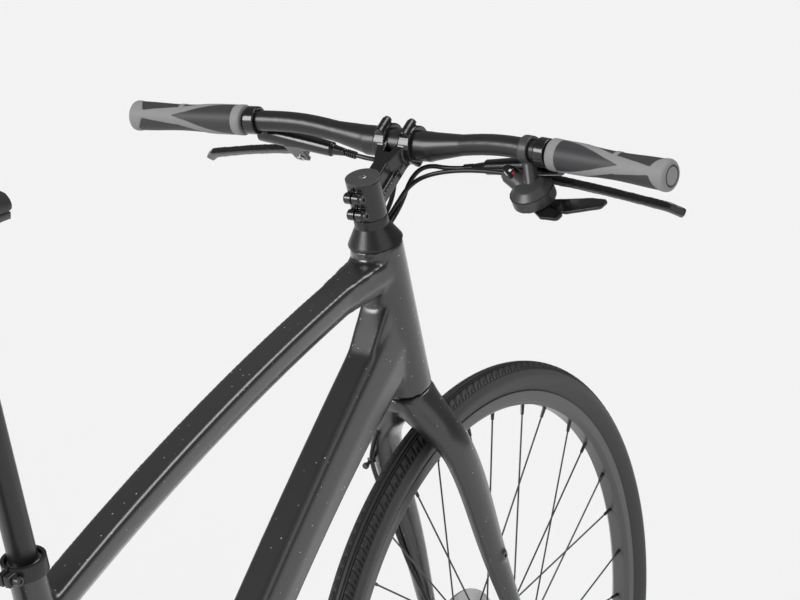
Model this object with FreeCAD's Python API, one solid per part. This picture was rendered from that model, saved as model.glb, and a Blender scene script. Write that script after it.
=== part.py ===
"""Flat-bar hybrid bike with disc brakes and a single-chainring drivetrain.

Millimetres. +X points forward, +Y to the rider's left and +Z up. The origin is on the
ground, midway between the two tyre contact points.
"""
import FreeCAD
import Part
import math
import os

# Frame and fork geometry
wheelbase = 1112.0
chainstay_length = 440.0
bottom_bracket_drop = 65.0
head_angle = 70.5
seat_angle = 73.5
fork_length = 403.3
fork_rake = 48.5
head_tube_length = 178.0
seat_tube_length = 419.0

# Tubes
head_tube_radius = 28.0
headset_bore_radius = 22.0
steerer_radius = 14.3
seat_tube_radius = 17.45
seatpost_radius = 13.6
top_tube_width = 36.0
top_tube_depth = 33.0
lug_wall = 3.0
down_tube_width = 46.0
down_tube_depth = 56.0
chainstay_radius = 8.5
seatstay_radius = 7.5
bridge_radius = 6.0
bridge_reach = 30.0
shell_radius = 22.0
shell_bore_radius = 17.4
shell_width = 68.0
dropout_thickness = 7.0
bearing_height = 8.0
steerer_above = 68.0
fork_eyelet_share = 0.548
boss_radius = 6.0
boss_height = 1.5
thread_radius = 2.1
thread_depth = 11.0
bottle_boss_spacing = 64.0
boss_distance = 230.0
seat_bore_depth = 300.0

# Wheels
bead_radius = 311.0
tyre_section = 38.0
tyre_wall = 2.6
rim_width = 23.6
rim_depth = 17.0
spoke_count = 32
spoke_crosses = 3
spoke_radius = 1.0
nipple_radius = 2.1
nipple_length = 12.0
front_hub_width = 100.0
rear_hub_width = 135.0
axle_radius = 5.0
flange_radius = 27.0
flange_thickness = 3.2
rotor_radius = 80.0
rotor_thickness = 1.8
rotor_track = 14.0
front_rotor_inset = 10.5
rear_rotor_inset = 15.5
rotor_seat_radius = 17.0
front_left_flange = 22.0
front_right_flange = 33.0
rear_left_flange = 34.0
rear_right_flange = 21.0
locknut_width = 8.0
locknut_inset = 3.2
skewer_pin_radius = 3.0

# Drivetrain
chain_pitch = 12.7
roller_radius = 3.8
chain_gap = 2.6
plate_thickness = 0.9
plate_height = 8.2
plate_clearance = 0.15
chainring_teeth = 40
cassette_teeth = (34, 26, 23, 20, 17, 15, 13, 11)
driven_sprocket = 3
sprocket_step = 4.8
pulley_teeth = 11
tooth_thickness = 1.8
crank_length = 170.0
spindle_radius = 12.0
pedal_spindle_radius = 6.0
pulley_spacing = 56.0
chain_links = 110
freewheel_radius = 17.0
crank_root = 55.0
crank_tip = 68.5
pedal_reach = 55.0
pedal_width = 92.0
pedal_length = 96.0
cup_width = 9.0
hanger_thickness = 4.6
hanger_bolt_radius = 5.0
link_pin_radius = 3.0
cage_pin_radius = 5.0
cage_plate_thickness = 1.6
cage_half_width = 5.1
pulley_bolt_radius = 2.5

# Cockpit
cover_height = 20.0
spacer_height = 10.0
stem_clamp_height = 41.0
stem_radius = 18.0
stem_reach = 75.4
stem_rise = 73.8
bar_clamp_radius = 15.9
bar_clamp_width = 45.0
bar_radius = 11.1
bar_width = 660.0
bar_rise = 12.0
bar_sweep = 24.8
grip_length = 141.0
grip_radius = 16.0
hose_radius = 2.5
cable_radius = 2.4
hose_port_side = 5.6
lever_droop = 38.0
lever_pin_radius = 3.0
shift_pin_radius = 3.5

# Saddle
saddle_height = 773.0
post_insertion = 119.0
saddle_length = 250.0
saddle_width = 160.0
saddle_setback = 35.0
saddle_stack = 73.0
rail_radius = 3.5
rail_spacing = 44.0

# Fits
running_gap = 0.05
slot_gap = 0.2
head_gap = 0.5
nearly_straight = math.radians(85)
clear_gap = 0.3

X = FreeCAD.Vector(1, 0, 0)
Y = FreeCAD.Vector(0, 1, 0)
Z = FreeCAD.Vector(0, 0, 1)


def vec(x, y, z):
    return FreeCAD.Vector(x, y, z)


def unit(v):
    return v / v.Length


def polar(angle):
    """Unit vector in the bike's plane, from +X towards +Z, in degrees."""
    return vec(math.cos(math.radians(angle)), 0, math.sin(math.radians(angle)))


# Reference points and directions
wheel_radius = bead_radius + tyre_section
front_axle = vec(wheelbase / 2, 0, wheel_radius)
rear_axle = vec(-wheelbase / 2, 0, wheel_radius)
stay_run = math.sqrt(chainstay_length ** 2 - bottom_bracket_drop ** 2)
bracket = rear_axle + vec(stay_run, 0, -bottom_bracket_drop)
steer_up = polar(180 - head_angle)
steer_forward = polar(90 - head_angle)
head_low = front_axle + steer_up * fork_length - steer_forward * fork_rake
head_high = head_low + steer_up * head_tube_length
seat_up = polar(180 - seat_angle)
seat_forward = polar(90 - seat_angle)
seat_top = bracket + seat_up * seat_tube_length
chain_line = rear_hub_width / 2 - 4.5 - (len(cassette_teeth) - 1 - driven_sprocket) * sprocket_step


def steer(forward, left, up):
    """Point in the steering frame, whose zero is the lower end of the head tube."""
    return head_low + steer_forward * forward + Y * left + steer_up * up


# Shape helpers
def rod(start, end, radius):
    return Part.makeCylinder(radius, (end - start).Length, start, end - start)


def ring(start, end, outer, inner):
    return rod(start, end, outer).cut(rod(start, end, inner))


def cone(start, end, start_radius, end_radius):
    return Part.makeCone(start_radius, end_radius, (end - start).Length, start, end - start)


def joined(shapes):
    """One solid from shapes that overlap."""
    whole = shapes[0].multiFuse(shapes[1:])
    return whole.removeSplitter()


def group(shapes):
    return Part.makeCompound(shapes)


def mirrored(shape):
    """The same piece on the other side of the bike."""
    return shape.mirror(vec(0, 0, 0), Y)


def in_frame(origin, along_x, along_y):
    """Function that maps local coordinates to a point of a turned frame."""
    first = unit(along_x)
    third = unit(first.cross(along_y))
    second = third.cross(first)

    def point(x, y, z=0.0):
        return origin + first * x + second * y + third * z

    return point


def rounded_wire(points, radius):
    """Closed planar wire whose corners are tangent arcs, no larger than their sides allow."""
    corners = []
    for i, corner in enumerate(points):
        back = points[i - 1] - corner
        on = points[(i + 1) % len(points)] - corner
        half = back.getAngle(on) / 2
        if half > nearly_straight:
            corners.append((corner, None, corner))
            continue
        reach = min(radius / math.tan(half), 0.45 * min(back.Length, on.Length))
        middle = corner + unit(unit(back) + unit(on)) * reach * (1 / math.cos(half) - math.tan(half))
        corners.append((corner + unit(back) * reach, middle, corner + unit(on) * reach))
    edges = []
    for i, (start, middle, end) in enumerate(corners):
        if middle is not None:
            edges.append(Part.Arc(start, middle, end).toShape())
        edges.append(Part.makeLine(end, corners[(i + 1) % len(corners)][0]))
    return Part.Wire(edges)


def slab(points, thickness, radius=0.0):
    """Plate from an outline of 3-D corners, pushed out by a vector."""
    wire = rounded_wire(points, radius) if radius else Part.makePolygon(points + points[:1])
    return Part.Face(wire).extrude(thickness)


def spun(profile, centre):
    """Body of revolution about a Y axle, from (radius, y) corners."""
    points = [vec(r, y, 0) for r, y in profile]
    face = Part.Face(Part.makePolygon(points + points[:1]))
    body = face.revolve(vec(0, 0, 0), Y, 360)
    body.translate(centre)
    return body


def rounded_path(points):
    """Wire of straight runs and the largest tangent arcs that they leave room for."""
    edges = []
    radii = []
    start = points[0]
    for before, corner, after in zip(points, points[1:], points[2:]):
        back = before - corner
        on = after - corner
        half = back.getAngle(on) / 2
        reach = 0.45 * min(back.Length, on.Length)
        middle = corner + unit(unit(back) + unit(on)) * reach * (1 / math.cos(half) - math.tan(half))
        bend = corner + unit(back) * reach
        edges.append(Part.makeLine(start, bend))
        start = corner + unit(on) * reach
        edges.append(Part.Arc(bend, middle, start).toShape())
        radii.append(reach * math.tan(half))
    edges.append(Part.makeLine(start, points[-1]))
    return Part.Wire(edges), radii


def bent_rod(points, radius, name=""):
    """Round bar, tube or hose along a route of chosen points."""
    path, radii = rounded_path(points)
    circle = Part.Circle(points[0], points[1] - points[0], radius).toShape()
    body = path.makePipeShell([Part.Wire(circle)], True, False)
    if name:
        ratio = body.Volume / (math.pi * radius ** 2 * path.Length)
        bends = ", ".join(f"{r:.0f}" for r in radii)
        print(f"{name}: length {path.Length:.0f} mm, volume ratio {ratio:.4f}, bend radii {bends} mm")
    return body


def tube_section(centre, along, outline, radius):
    """Section of a frame tube square to its direction, from (left, up) corners."""
    up = unit(Y.cross(along) * -1)
    return rounded_wire([centre + Y * y + up * z for y, z in outline], radius)


def ellipse_section(centre, major_dir, major, minor, normal):
    curve = Part.Ellipse(vec(0, 0, 0), major, minor)
    wire = Part.Wire(curve.toShape())
    turn = FreeCAD.Rotation(major_dir, normal.cross(major_dir), normal, "ZXY")
    wire.Placement = FreeCAD.Placement(centre, turn)
    return wire


# Frame
def top_tube():
    """Flat-topped tube that bows gently from the seat tube up to the head tube."""
    half = top_tube_width / 2
    outline = [(-half, 0), (half, 0), (half - 1, -top_tube_depth * 0.58), (half * 0.5, -top_tube_depth),
               (-half * 0.5, -top_tube_depth), (1 - half, -top_tube_depth * 0.58)]
    rear = seat_top - seat_up * 49 + seat_forward * 2
    front = head_low + steer_up * (head_tube_length - 12) - steer_forward * 8
    run = front - rear
    crown = 15.5
    sections = []
    for share in (0.0, 0.25, 0.5, 0.75, 1.0):
        bow = crown * 4 * share * (1 - share)
        along = unit(run + vec(-run.z, 0, run.x) * (crown * 4 * (1 - 2 * share) / run.Length))
        centre = rear + run * share + unit(vec(-run.z, 0, run.x)) * bow
        sections.append(tube_section(centre, along, outline, 4.0))
    return Part.makeLoft(sections, True, False)


def down_tube():
    """Large tube that deepens towards the head tube."""
    half = down_tube_width / 2
    low = bracket + vec(8, 0, 4)
    high = head_low + steer_up * 68 - steer_forward * 4
    run = high - low
    lift = unit(vec(-run.z, 0, run.x))
    sections = []
    for share, bow, deeper in ((0.0, 0.0, -4.0), (0.4, 5.0, 0.0), (0.7, 9.0, 2.0), (0.86, 6.0, 8.0),
                               (1.0, 0.0, 18.0)):
        tall = (down_tube_depth + deeper) / 2
        outline = [(-half * 0.8, tall), (half * 0.8, tall), (half, 0), (half * 0.8, -tall),
                   (-half * 0.8, -tall), (-half, 0)]
        sections.append(tube_section(low + run * share + lift * bow, run, outline, 9.0))
    return Part.makeLoft(sections, True, False)


def down_tube_boss(share):
    """Axis start, direction and base of one bottle-cage boss on the down tube's upper face."""
    low = bracket + vec(8, 0, 4)
    run = head_low + steer_up * 68 - steer_forward * 4 - low
    lift = unit(vec(-run.z, 0, run.x))
    return low + unit(run) * share, lift


def rear_dropout():
    """Left plate that holds the axle in a vertical slot and joins both stays."""
    y = rear_hub_width / 2 + clear_gap / 3
    outline = [(-18, -16), (44, -18), (50, 0), (36, 44), (16, 44), (-12, 26), (-20, 6)]
    corners = [rear_axle + vec(x, y, z) for x, z in outline]
    plate = slab(corners, Y * dropout_thickness, 7.0)
    slot = rod(rear_axle + Y * (y - 1), rear_axle + Y * (y + dropout_thickness + 1), axle_radius + slot_gap)
    mouth = Part.makeBox(2 * axle_radius + 0.4, dropout_thickness + 2, 40)
    mouth.translate(rear_axle + vec(-axle_radius - 0.2, y - 1, -40))
    eyelet = rear_axle + vec(-6, y - 1, 17)
    hole = rod(eyelet, eyelet + Y * (dropout_thickness + 2), thread_radius)
    return plate.cut(slot).cut(mouth).cut(hole)


def stays():
    """Left chainstay and seatstay, bowed round the tyre, and the bridges between both sides."""
    out = rear_hub_width / 2 + dropout_thickness / 2
    chainstay = bent_rod([bracket + vec(-12, 20, 1), bracket + vec(-78, 30, 10),
                          rear_axle + vec(300, 41, -48),
                          rear_axle + vec(110, 62, -17), rear_axle + vec(36, out, -7)], chainstay_radius)
    root = bracket + seat_up * 330
    seatstay = bent_rod([root + vec(-6, 8, 0), root + vec(-46, 29, -29), rear_axle + vec(215, 46, 164),
                         rear_axle + vec(90, 62, 78), rear_axle + vec(24, out, 32)], seatstay_radius)
    bridge = root + vec(-44, 0, -27)
    upper = rod(bridge - Y * bridge_reach, bridge + Y * bridge_reach, bridge_radius)
    lower_bridge = bracket + vec(-76, 0, 10)
    lower = rod(lower_bridge - Y * bridge_reach, lower_bridge + Y * bridge_reach, bridge_radius)
    return [chainstay, seatstay, upper, lower]


def brake_mount():
    """Pad on the left chainstay that carries the rear caliper."""
    corners = [rear_axle + vec(x, rear_hub_width / 2 - 11, z) for x,
               z in ((52, -10), (100, -18), (96, 12), (58, 10))]
    return slab(corners, Y * 14, 4.0)


def head_tube():
    return rod(head_low, head_high, head_tube_radius)


def seat_tube():
    return rod(bracket, seat_top, seat_tube_radius)


def bracket_shell():
    return rod(bracket - Y * shell_width / 2, bracket + Y * shell_width / 2, shell_radius)


def lug_room():
    """Room round the head tube in which the top tube's end is part of the head tube's lug."""
    rear = -head_tube_radius - lug_wall
    front = head_tube_radius
    high = head_tube_length + top_tube_depth
    corners = [(rear, -top_tube_depth), (front, -top_tube_depth), (front, high), (rear, high)]
    return slab([steer(x, -top_tube_width, z) for x, z in corners], Y * 2 * top_tube_width)


def frame():
    """Head tube with its lug, down tube with its bottle bosses, and bracket shell."""
    bosses = []
    holes = []
    for share in (boss_distance, boss_distance + bottle_boss_spacing):
        base, lift = down_tube_boss(share)
        top = base + lift * (down_tube_depth / 2 + 5 + boss_height)
        bosses.append(rod(base, top, boss_radius))
        holes.append(rod(top + lift, top - lift * thread_depth, thread_radius))
    lug = top_tube().common(lug_room())
    body = joined([head_tube(), down_tube(), bracket_shell(), lug] + bosses)
    bores = [rod(head_low - steer_up, head_high + steer_up, headset_bore_radius),
             rod(bracket - Y * shell_width, bracket + Y * shell_width, shell_bore_radius)]
    return body.cut(bores + holes)


def top_tube_between():
    """Top tube from the head tube's lug to its mitre on the seat tube."""
    return top_tube().cut([lug_room(), seat_tube()])


def rear_frame(ways):
    """Seat tube, dropouts, stays and bridges, each mitred to what it is welded to.

    The ways are the hose exits and the caliper's seat cut into them.
    """
    bore = rod(seat_top + seat_up, seat_top - seat_up * seat_bore_depth, seatpost_radius + running_gap)
    slot = Part.makeBox(seat_tube_radius * 2, 3, 40)
    point = in_frame(seat_top, seat_forward * -1, Y)
    turn = FreeCAD.Rotation(seat_forward * -1, Y * -1, seat_up, "ZXY")
    slot.Placement = FreeCAD.Placement(point(0, -1.5, -38), turn)
    tube = seat_tube().cut([bracket_shell(), down_tube(), bore, slot])
    chainstay, seatstay, upper, lower = stays()
    plates = [rear_dropout(), mirrored(rear_dropout())]
    low_stays = [joined([chainstay, brake_mount()]), mirrored(chainstay)]
    high_stays = [seatstay, mirrored(seatstay)]
    bridges = [upper.cut(high_stays), lower.cut(low_stays)]
    roots = [bracket_shell(), down_tube(), seat_tube()]
    tubes = [stay.cut(roots + plates + ways) for stay in low_stays + high_stays]
    return group([tube] + [plate.cut(ways) for plate in plates] + tubes + bridges)


def seat_clamp():
    """Split collar round the top of the seat tube, with its pinch bolt behind."""
    low = seat_top - seat_up * 14
    high = seat_top + seat_up * 1
    point = in_frame(seat_top - seat_up * 6.5, seat_forward * -1, Y)
    ears = slab([point(14, y, z) for y, z in ((-8, -5.5), (8, -5.5), (8, 5.5), (-8, 5.5))],
                seat_forward * -16, 2.0)
    collar = joined([rod(low, high, seat_tube_radius + 3.6), ears])
    split = slab([point(0, -1, -12), point(40, -1, -12), point(40, 1, -12), point(0, 1, -12)],
                 point(0, 0, 12) - point(0, 0, -12))
    bolt_start = point(24.5, -11, 0)
    bolt_end = point(24.5, 9, 0)
    bore = rod(point(24.5, -9, 0), point(24.5, 9, 0), 2.7)
    collar = collar.cut([rod(low - seat_up, high + seat_up, seat_tube_radius + running_gap), split, bore])
    bolt = joined([rod(bolt_start, bolt_end, 2.5), rod(bolt_start - Y * 4, point(24.5, -8.2, 0), 4.4)])
    return group([collar, bolt])


def headset_bearings():
    """Upper and lower bearing, seated in the ends of the head tube."""
    outer = headset_bore_radius
    inner = steerer_radius + running_gap
    lower = ring(head_low, head_low + steer_up * bearing_height, outer, inner)
    upper = ring(head_high - steer_up * bearing_height, head_high, outer, inner)
    return group([lower, upper])


def bottom_bracket():
    """Left and right cups, each with its bearing outside the shell."""
    inner = spindle_radius + running_gap
    cups = []
    for side in (-1, 1):
        face = bracket + Y * side * shell_width / 2
        sleeve = ring(face - Y * side * 20, face, shell_bore_radius, inner)
        bearing = ring(face, face + Y * side * cup_width, shell_radius, inner)
        cups.append(joined([sleeve, bearing]))
    return group(cups)


# Fork, headset cover and stem
def fork_leg():
    """Left leg: swept forward from the crown and tapered towards the axle."""
    crown = [(-4, 0, 10, 27.0, 18.0), (-36, 1, 24, 25.0, 24.0), (-62, 4, 41, 22.5, 17.5),
             (-90, 8, 48.5, 21.0, 15.0)]
    shares = ((0.3893, 0.336, 52.4, 18.5, 13.8), (0.6372, 0.561, 55.6, 14.0, 11.5),
              (0.9546, 0.804, 57.0, 10.0, 8.0))
    leg = [(-fork_length * down, fork_rake * on, left, deep, wide) for down, on, left, deep, wide in shares]
    wires = []
    for up, forward, left, deep, wide in crown + leg:
        wires.append(ellipse_section(steer(forward, left, up), steer_forward, deep, wide, steer_up))
    return Part.makeLoft(wires, True, False)


def fork_dropout():
    """Left fork end with its open slot for the axle."""
    inner = front_hub_width / 2 + clear_gap / 3
    outline = [(-20.5, 37.3), (-0.5, 31.3), (15, 8), (14, -14), (-14, -14), (-21.5, 18.3)]
    corners = [steer(fork_rake + f, inner, h - fork_length) for f, h in outline]
    plate = slab(corners, Y * dropout_thickness, 6.0)
    seat = rod(front_axle + Y * (inner - 1), front_axle + Y * (inner + dropout_thickness + 1),
               axle_radius + slot_gap)
    half = axle_radius + slot_gap
    corners = [steer(fork_rake + f, inner - 1, h - fork_length) for f,
               h in ((-half, 0), (half, 0), (half, -40), (-half, -40))]
    mouth = slab(corners, Y * (dropout_thickness + 2))
    return plate.cut([seat, mouth])


def fork_eyelet():
    """Axis and outer end of the left leg's accessory boss."""
    forward = fork_rake * 0.495
    drop = fork_length * fork_eyelet_share
    return steer(forward, 50, -drop), steer(forward, 54.6 + 12.6 + boss_height, -drop)


def fork(ways):
    """Steerer, crown, two legs and the ends that hold the axle."""
    steerer = rod(steer(0, 0, -30), steer(0, 0, head_tube_length + steerer_above), steerer_radius)
    crown = rod(steer(0, 0, -14), steer(0, 0, -head_gap), head_tube_radius)
    inside, outside = fork_eyelet()
    half = [fork_leg(), fork_dropout(), rod(inside, outside, boss_radius)]
    body = joined([steerer, crown] + half + [mirrored(piece) for piece in half] + front_brake_posts())
    hole = rod(outside + Y, outside - Y * thread_depth, thread_radius)
    return body.cut([hole, mirrored(hole), front_caliper_block()] + ways)


def front_brake_posts():
    """Two posts on the left leg that carry the front caliper."""
    posts = []
    for up, reach in ((75.3, -54.5), (31.3, -62.5)):
        root = steer(fork_rake - 14.5, 53, up - fork_length)
        posts.append(rod(root, steer(fork_rake + reach, 53, up - fork_length), 6.0))
    return posts


def headset_cover():
    """Cone over the upper bearing with a port in front for the hoses, and the spacer on it."""
    low = head_high + steer_up * head_gap
    high = head_high + steer_up * cover_height
    body = cone(low, high, head_tube_radius + 1, stem_radius)
    bore = rod(low - steer_up, high + steer_up, steerer_radius)
    inside = steerer_radius + 0.1
    corners = [steer(inside, y, head_tube_length + up) for y, up in ((-9, 4), (9, 4), (9, 14), (-9, 14))]
    spacer = ring(high, high + steer_up * spacer_height, stem_radius, steerer_radius)
    return group([body.cut([bore, slab(corners, steer_forward * 30)]), spacer])


def stem_parts():
    """Stem body and its separate faceplate, split in front of the bar."""
    low = head_tube_length + cover_height + spacer_height
    high = low + stem_clamp_height
    centre = steer(stem_reach, 0, head_tube_length + stem_rise)
    clamp = rod(steer(0, 0, low), steer(0, 0, high), stem_radius)
    root = steer(6, 0, low + stem_clamp_height * 0.5)
    reach = unit(centre - root)
    lift = unit(Y.cross(reach) * -1)
    neck = Part.makeLoft([ellipse_section(root, Y, 17.0, 16.9, reach),
                          ellipse_section(root + reach * 40, Y, 15.5, 14.0, reach),
                          ellipse_section(centre - reach * 8, Y, 19.0, 17.0, reach)], True, False)
    half = bar_clamp_width / 2
    sleeve = rod(centre - Y * half, centre + Y * half, bar_clamp_radius + 4.6)
    point = in_frame(centre, reach, Y)
    lugs = []
    for y in (-half + 7, half - 7):
        for side in (-1, 1):
            lugs.append(slab([point(x, y, side * z) for x, z in ((-8, 13), (11, 13), (11, 26), (-8, 26))],
                             Y * 9, 2.0))
            lugs[-1].translate(Y * -4.5)
    ears = []
    for up in (low + 11, high - 11):
        corners = [steer(f, -9, up + h) for f, h in ((-14, -7), (-28, -7), (-28, 7), (-14, 7))]
        ears.append(slab(corners, Y * 18, 3.0))
    whole = joined([clamp, neck, sleeve] + lugs + ears)
    whole = whole.cut([rod(steer(0, 0, low - 1), steer(0, 0, high + 1), steerer_radius),
                       rod(centre - Y * half * 2, centre + Y * half * 2, bar_clamp_radius)])
    pinch = slab([steer(f, -1, low - 1) for f in (-5, -40)] + [steer(f, 1, low - 1) for f in (-40, -5)],
                 steer_up * (stem_clamp_height + 2))
    cut_at = 0.9
    front = slab([point(cut_at, y, z) for y, z in ((-60, -60), (60, -60), (60, 60), (-60, 60))], reach * 60)
    back = slab([point(-cut_at, y, z) for y, z in ((-60, -60), (60, -60), (60, 60), (-60, 60))],
                reach * -160)
    return whole.common(back).cut(pinch), whole.common(front)


def stem_top_cap():
    low = head_high + steer_up * (cover_height + spacer_height + stem_clamp_height)
    cap = rod(low, low + steer_up * 3.4, stem_radius)
    bolt_seat = rod(low + steer_up * 1.8, low + steer_up * 4, 4.5)
    return cap.cut(bolt_seat)


# Handlebar, grips and controls
bar_centre = steer(stem_reach, 0, head_tube_length + stem_rise)
bar_end = bar_centre + vec(-bar_sweep, bar_width / 2, 2.8)
bar_bend = bar_centre + vec(-bar_sweep * 0.25, bar_width * 0.182, bar_rise)
bar_out = unit(bar_end - bar_bend)
grip_inner = bar_end - bar_out * grip_length


def handlebar():
    """Low-rise bar: thick at the clamp, tapered, and swept back to the grips."""
    middle = rod(bar_centre - Y * 40, bar_centre + Y * 40, bar_clamp_radius)
    start = bar_centre + Y * 36
    taper_end = start + unit(bar_bend - start) * 48
    taper = cone(start, taper_end, bar_clamp_radius - 0.2, bar_radius - 0.5)
    arm = bent_rod([start + unit(bar_bend - start) * 20, bar_bend, bar_end - bar_out * 2], bar_radius)
    half = [taper, arm]
    return joined([middle] + half + [mirrored(piece) for piece in half])


def grip():
    """Left grip: swollen for the palm, with an inner collar and a closed outer end."""
    profile = [(0.0, 16.6), (6.0, 16.6), (7.5, 15.4), (38.0, 15.0), (70.0, 15.8), (105.0, 17.0),
               (132.0, 16.6),
               (grip_length - 3, 16.0), (grip_length, 13.0)]
    point = in_frame(grip_inner, bar_out, X)
    corners = [point(0, 0)] + [point(along, r * grip_radius / 16) for along,
                               r in profile] + [point(grip_length, 0)]
    body = Part.Face(Part.makePolygon(corners + corners[:1])).revolve(grip_inner, bar_out, 360)
    bore = rod(grip_inner - bar_out, bar_end - bar_out * 2, bar_radius)
    return body.cut(bore)


lever_down = math.radians(lever_droop)
lever_pull = vec(-math.cos(lever_down), 0, math.sin(lever_down))
clamp_seat = grip_inner - bar_out * 10
lever_pivot = clamp_seat + vec(42.5, -36, -33.5)
lever_axis = vec(math.sin(lever_down), 0, math.cos(lever_down))


def brake_bracket():
    """Left brake clamp, master cylinder, reservoir and the lever's pivot pin."""
    band = ring(clamp_seat - bar_out * 6.5, clamp_seat + bar_out * 6.5, bar_radius + 4, bar_radius)
    neck = rod(clamp_seat + vec(12, 0, -8), clamp_seat + vec(23, -4, -15), 6.5)
    cylinder = cone(clamp_seat + vec(23, 6, -15), clamp_seat + vec(27, -84, -27), 11.0, 8.0)
    nose = cone(clamp_seat + vec(27, -83.5, -27), clamp_seat + vec(28, -100, -29), 6.0, 4.0)
    point = in_frame(lever_pivot, Y, lever_pull)
    outline = [(-9, -6), (9, -6), (11, 24), (-13, 24)]
    cheeks = [slab([point(x, y, low) for x, y in outline], lever_axis * 4, 3.0) for low in (6.6, -10.6)]
    pin = rod(lever_pivot - lever_axis * 9, lever_pivot + lever_axis * 9, lever_pin_radius)
    return joined([band, neck, cylinder, nose, pin] + cheeks)


def brake_lever():
    """Left lever blade, curved towards its hooked tip, on a barrel round its pin."""
    point = in_frame(lever_pivot, Y, lever_pull)
    outline = [(-6, 3), (-6, -5), (14, -7), (45, -12), (78, -20), (112, -30), (138, -39), (150, -49),
               (157, -42),
               (143, -30), (112, -21), (78, -11), (45, -3), (16, 3)]
    blade = slab([point(x, y, -4.2) for x, y in outline], lever_axis * 8.4, 2.6)
    barrel = rod(lever_pivot - lever_axis * 6.2, lever_pivot + lever_axis * 6.2, 6.5)
    bore = rod(lever_pivot - lever_axis * 20, lever_pivot + lever_axis * 20, lever_pin_radius + running_gap)
    return joined([blade, barrel]).cut(bore)


pod_axis = unit(vec(-0.5, -0.1, 0.86))
pod_seat = grip_inner - bar_out * 30
pod_centre = pod_seat + vec(-5, 10, -46)
cable_start = pod_centre + vec(10, -40, 18)


def shifter_body():
    """Right shifter, drawn on the left: bar band, rounded pod, gear window head and lever pin."""
    band = rod(pod_seat - bar_out * 5.5, pod_seat + bar_out * 5.5, bar_radius + 3.5)
    neck = rod(pod_seat + vec(0, 0, -9), pod_centre + pod_axis * 4, 7.0)
    low = pod_centre - pod_axis * 4
    pod = [rod(low, low + pod_axis * 12, 23.0), cone(low + pod_axis * 12, low + pod_axis * 19, 23.0, 15.0)]
    head = rod(pod_centre + vec(2, -8, 6), pod_centre + vec(2, -31, 20), 10.0)
    window = rod(pod_centre + vec(2, -27, 17.6), pod_centre + vec(2, -34, 21.8), 8.5)
    barrel = cone(pod_centre + vec(8, -12, 14), cable_start, 6.0, 4.0)
    pin = rod(low + pod_axis, low - pod_axis * 13, shift_pin_radius)
    bar = rod(pod_seat - bar_out * 30, pod_seat + bar_out * 30, bar_radius)
    return joined([band, neck, head, window, barrel, pin] + pod).cut(bar)


def shift_paddle(outline, depth):
    """Flat shift lever under the pod, turning on the pod's pin."""
    top = pod_centre - pod_axis * depth
    point = in_frame(top, Y - pod_axis * Y.dot(pod_axis), pod_axis.cross(Y) * -1)
    blade = slab([point(x, y) for x, y in outline], pod_axis * -3.6, 4.0)
    hub = rod(top, top - pod_axis * 3.6, 9.0)
    bore = rod(top + pod_axis * 9, top - pod_axis * 9, shift_pin_radius + running_gap)
    return joined([blade, hub]).cut(bore)


def shift_lever():
    return shift_paddle([(-8, -7), (40, -12), (76, -2), (80, 10), (60, 12), (30, 9), (-8, 7)], 8.6)


def release_lever():
    return shift_paddle([(-7, -7), (18, -26), (40, -28), (42, -18), (22, -10), (8, 7), (-7, 7)], 4.5)


# Wheels
def tyre(centre):
    """Open tyre casing with its two beads inside the rim."""
    seat = rim_width / 2 - 1.6
    top = wheel_radius
    bulge = tyre_section / 2

    def at(r, y):
        return vec(r, y, 0)

    base = bead_radius + 0.6
    edge = bead_radius + 7
    middle = bead_radius + 20
    shoulder = top - 7.5
    lip = bulge - 4.5
    wall = tyre_wall
    edges = [Part.makeLine(at(base, seat), at(edge, seat)),
             Part.Arc(at(edge, seat), at(middle, bulge), at(shoulder, lip)).toShape(),
             Part.Arc(at(shoulder, lip), at(top, 0), at(shoulder, -lip)).toShape(),
             Part.Arc(at(shoulder, -lip), at(middle, -bulge), at(edge, -seat)).toShape(),
             Part.makeLine(at(edge, -seat), at(base, -seat)),
             Part.makeLine(at(base, -seat), at(base, wall - seat)),
             Part.makeLine(at(base, wall - seat), at(edge, wall - seat)),
             Part.Arc(at(edge, wall - seat), at(middle, wall - bulge),
                      at(shoulder - 1, wall - lip)).toShape(),
             Part.Arc(at(shoulder - 1, wall - lip), at(top - wall - 1, 0),
                      at(shoulder - 1, lip - wall)).toShape(),
             Part.Arc(at(shoulder - 1, lip - wall), at(middle, bulge - wall),
                      at(edge, seat - wall)).toShape(),
             Part.makeLine(at(edge, seat - wall), at(base, seat - wall)),
             Part.makeLine(at(base, seat - wall), at(base, seat))]
    body = Part.Face(Part.Wire(edges)).revolve(vec(0, 0, 0), Y, 360)
    body.translate(centre)
    return body


def rim(centre):
    """Rim with two bead seats, a centre well and straight outer flanges."""
    half = rim_width / 2
    seat = half - 1.4
    top = bead_radius + 6
    low = top - rim_depth
    floor = low + 4.5
    right = [(low, half * 0.55), (low + 5, half), (top, half), (top, seat), (bead_radius + 0.4, seat),
             (bead_radius + 0.4, half * 0.55), (floor, half * 0.42)]
    left = [(r, -y) for r, y in reversed(right)]
    return spun(right + left, centre)


def bar_of_six(start, end, radius, beside=Y):
    """Slim six-sided bar between two points."""
    point = in_frame(start, end - start, beside)
    corners = [point(0, radius * math.cos(math.pi * k / 3),
                     radius * math.sin(math.pi * k / 3)) for k in range(6)]
    return slab(corners, end - start)


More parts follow.
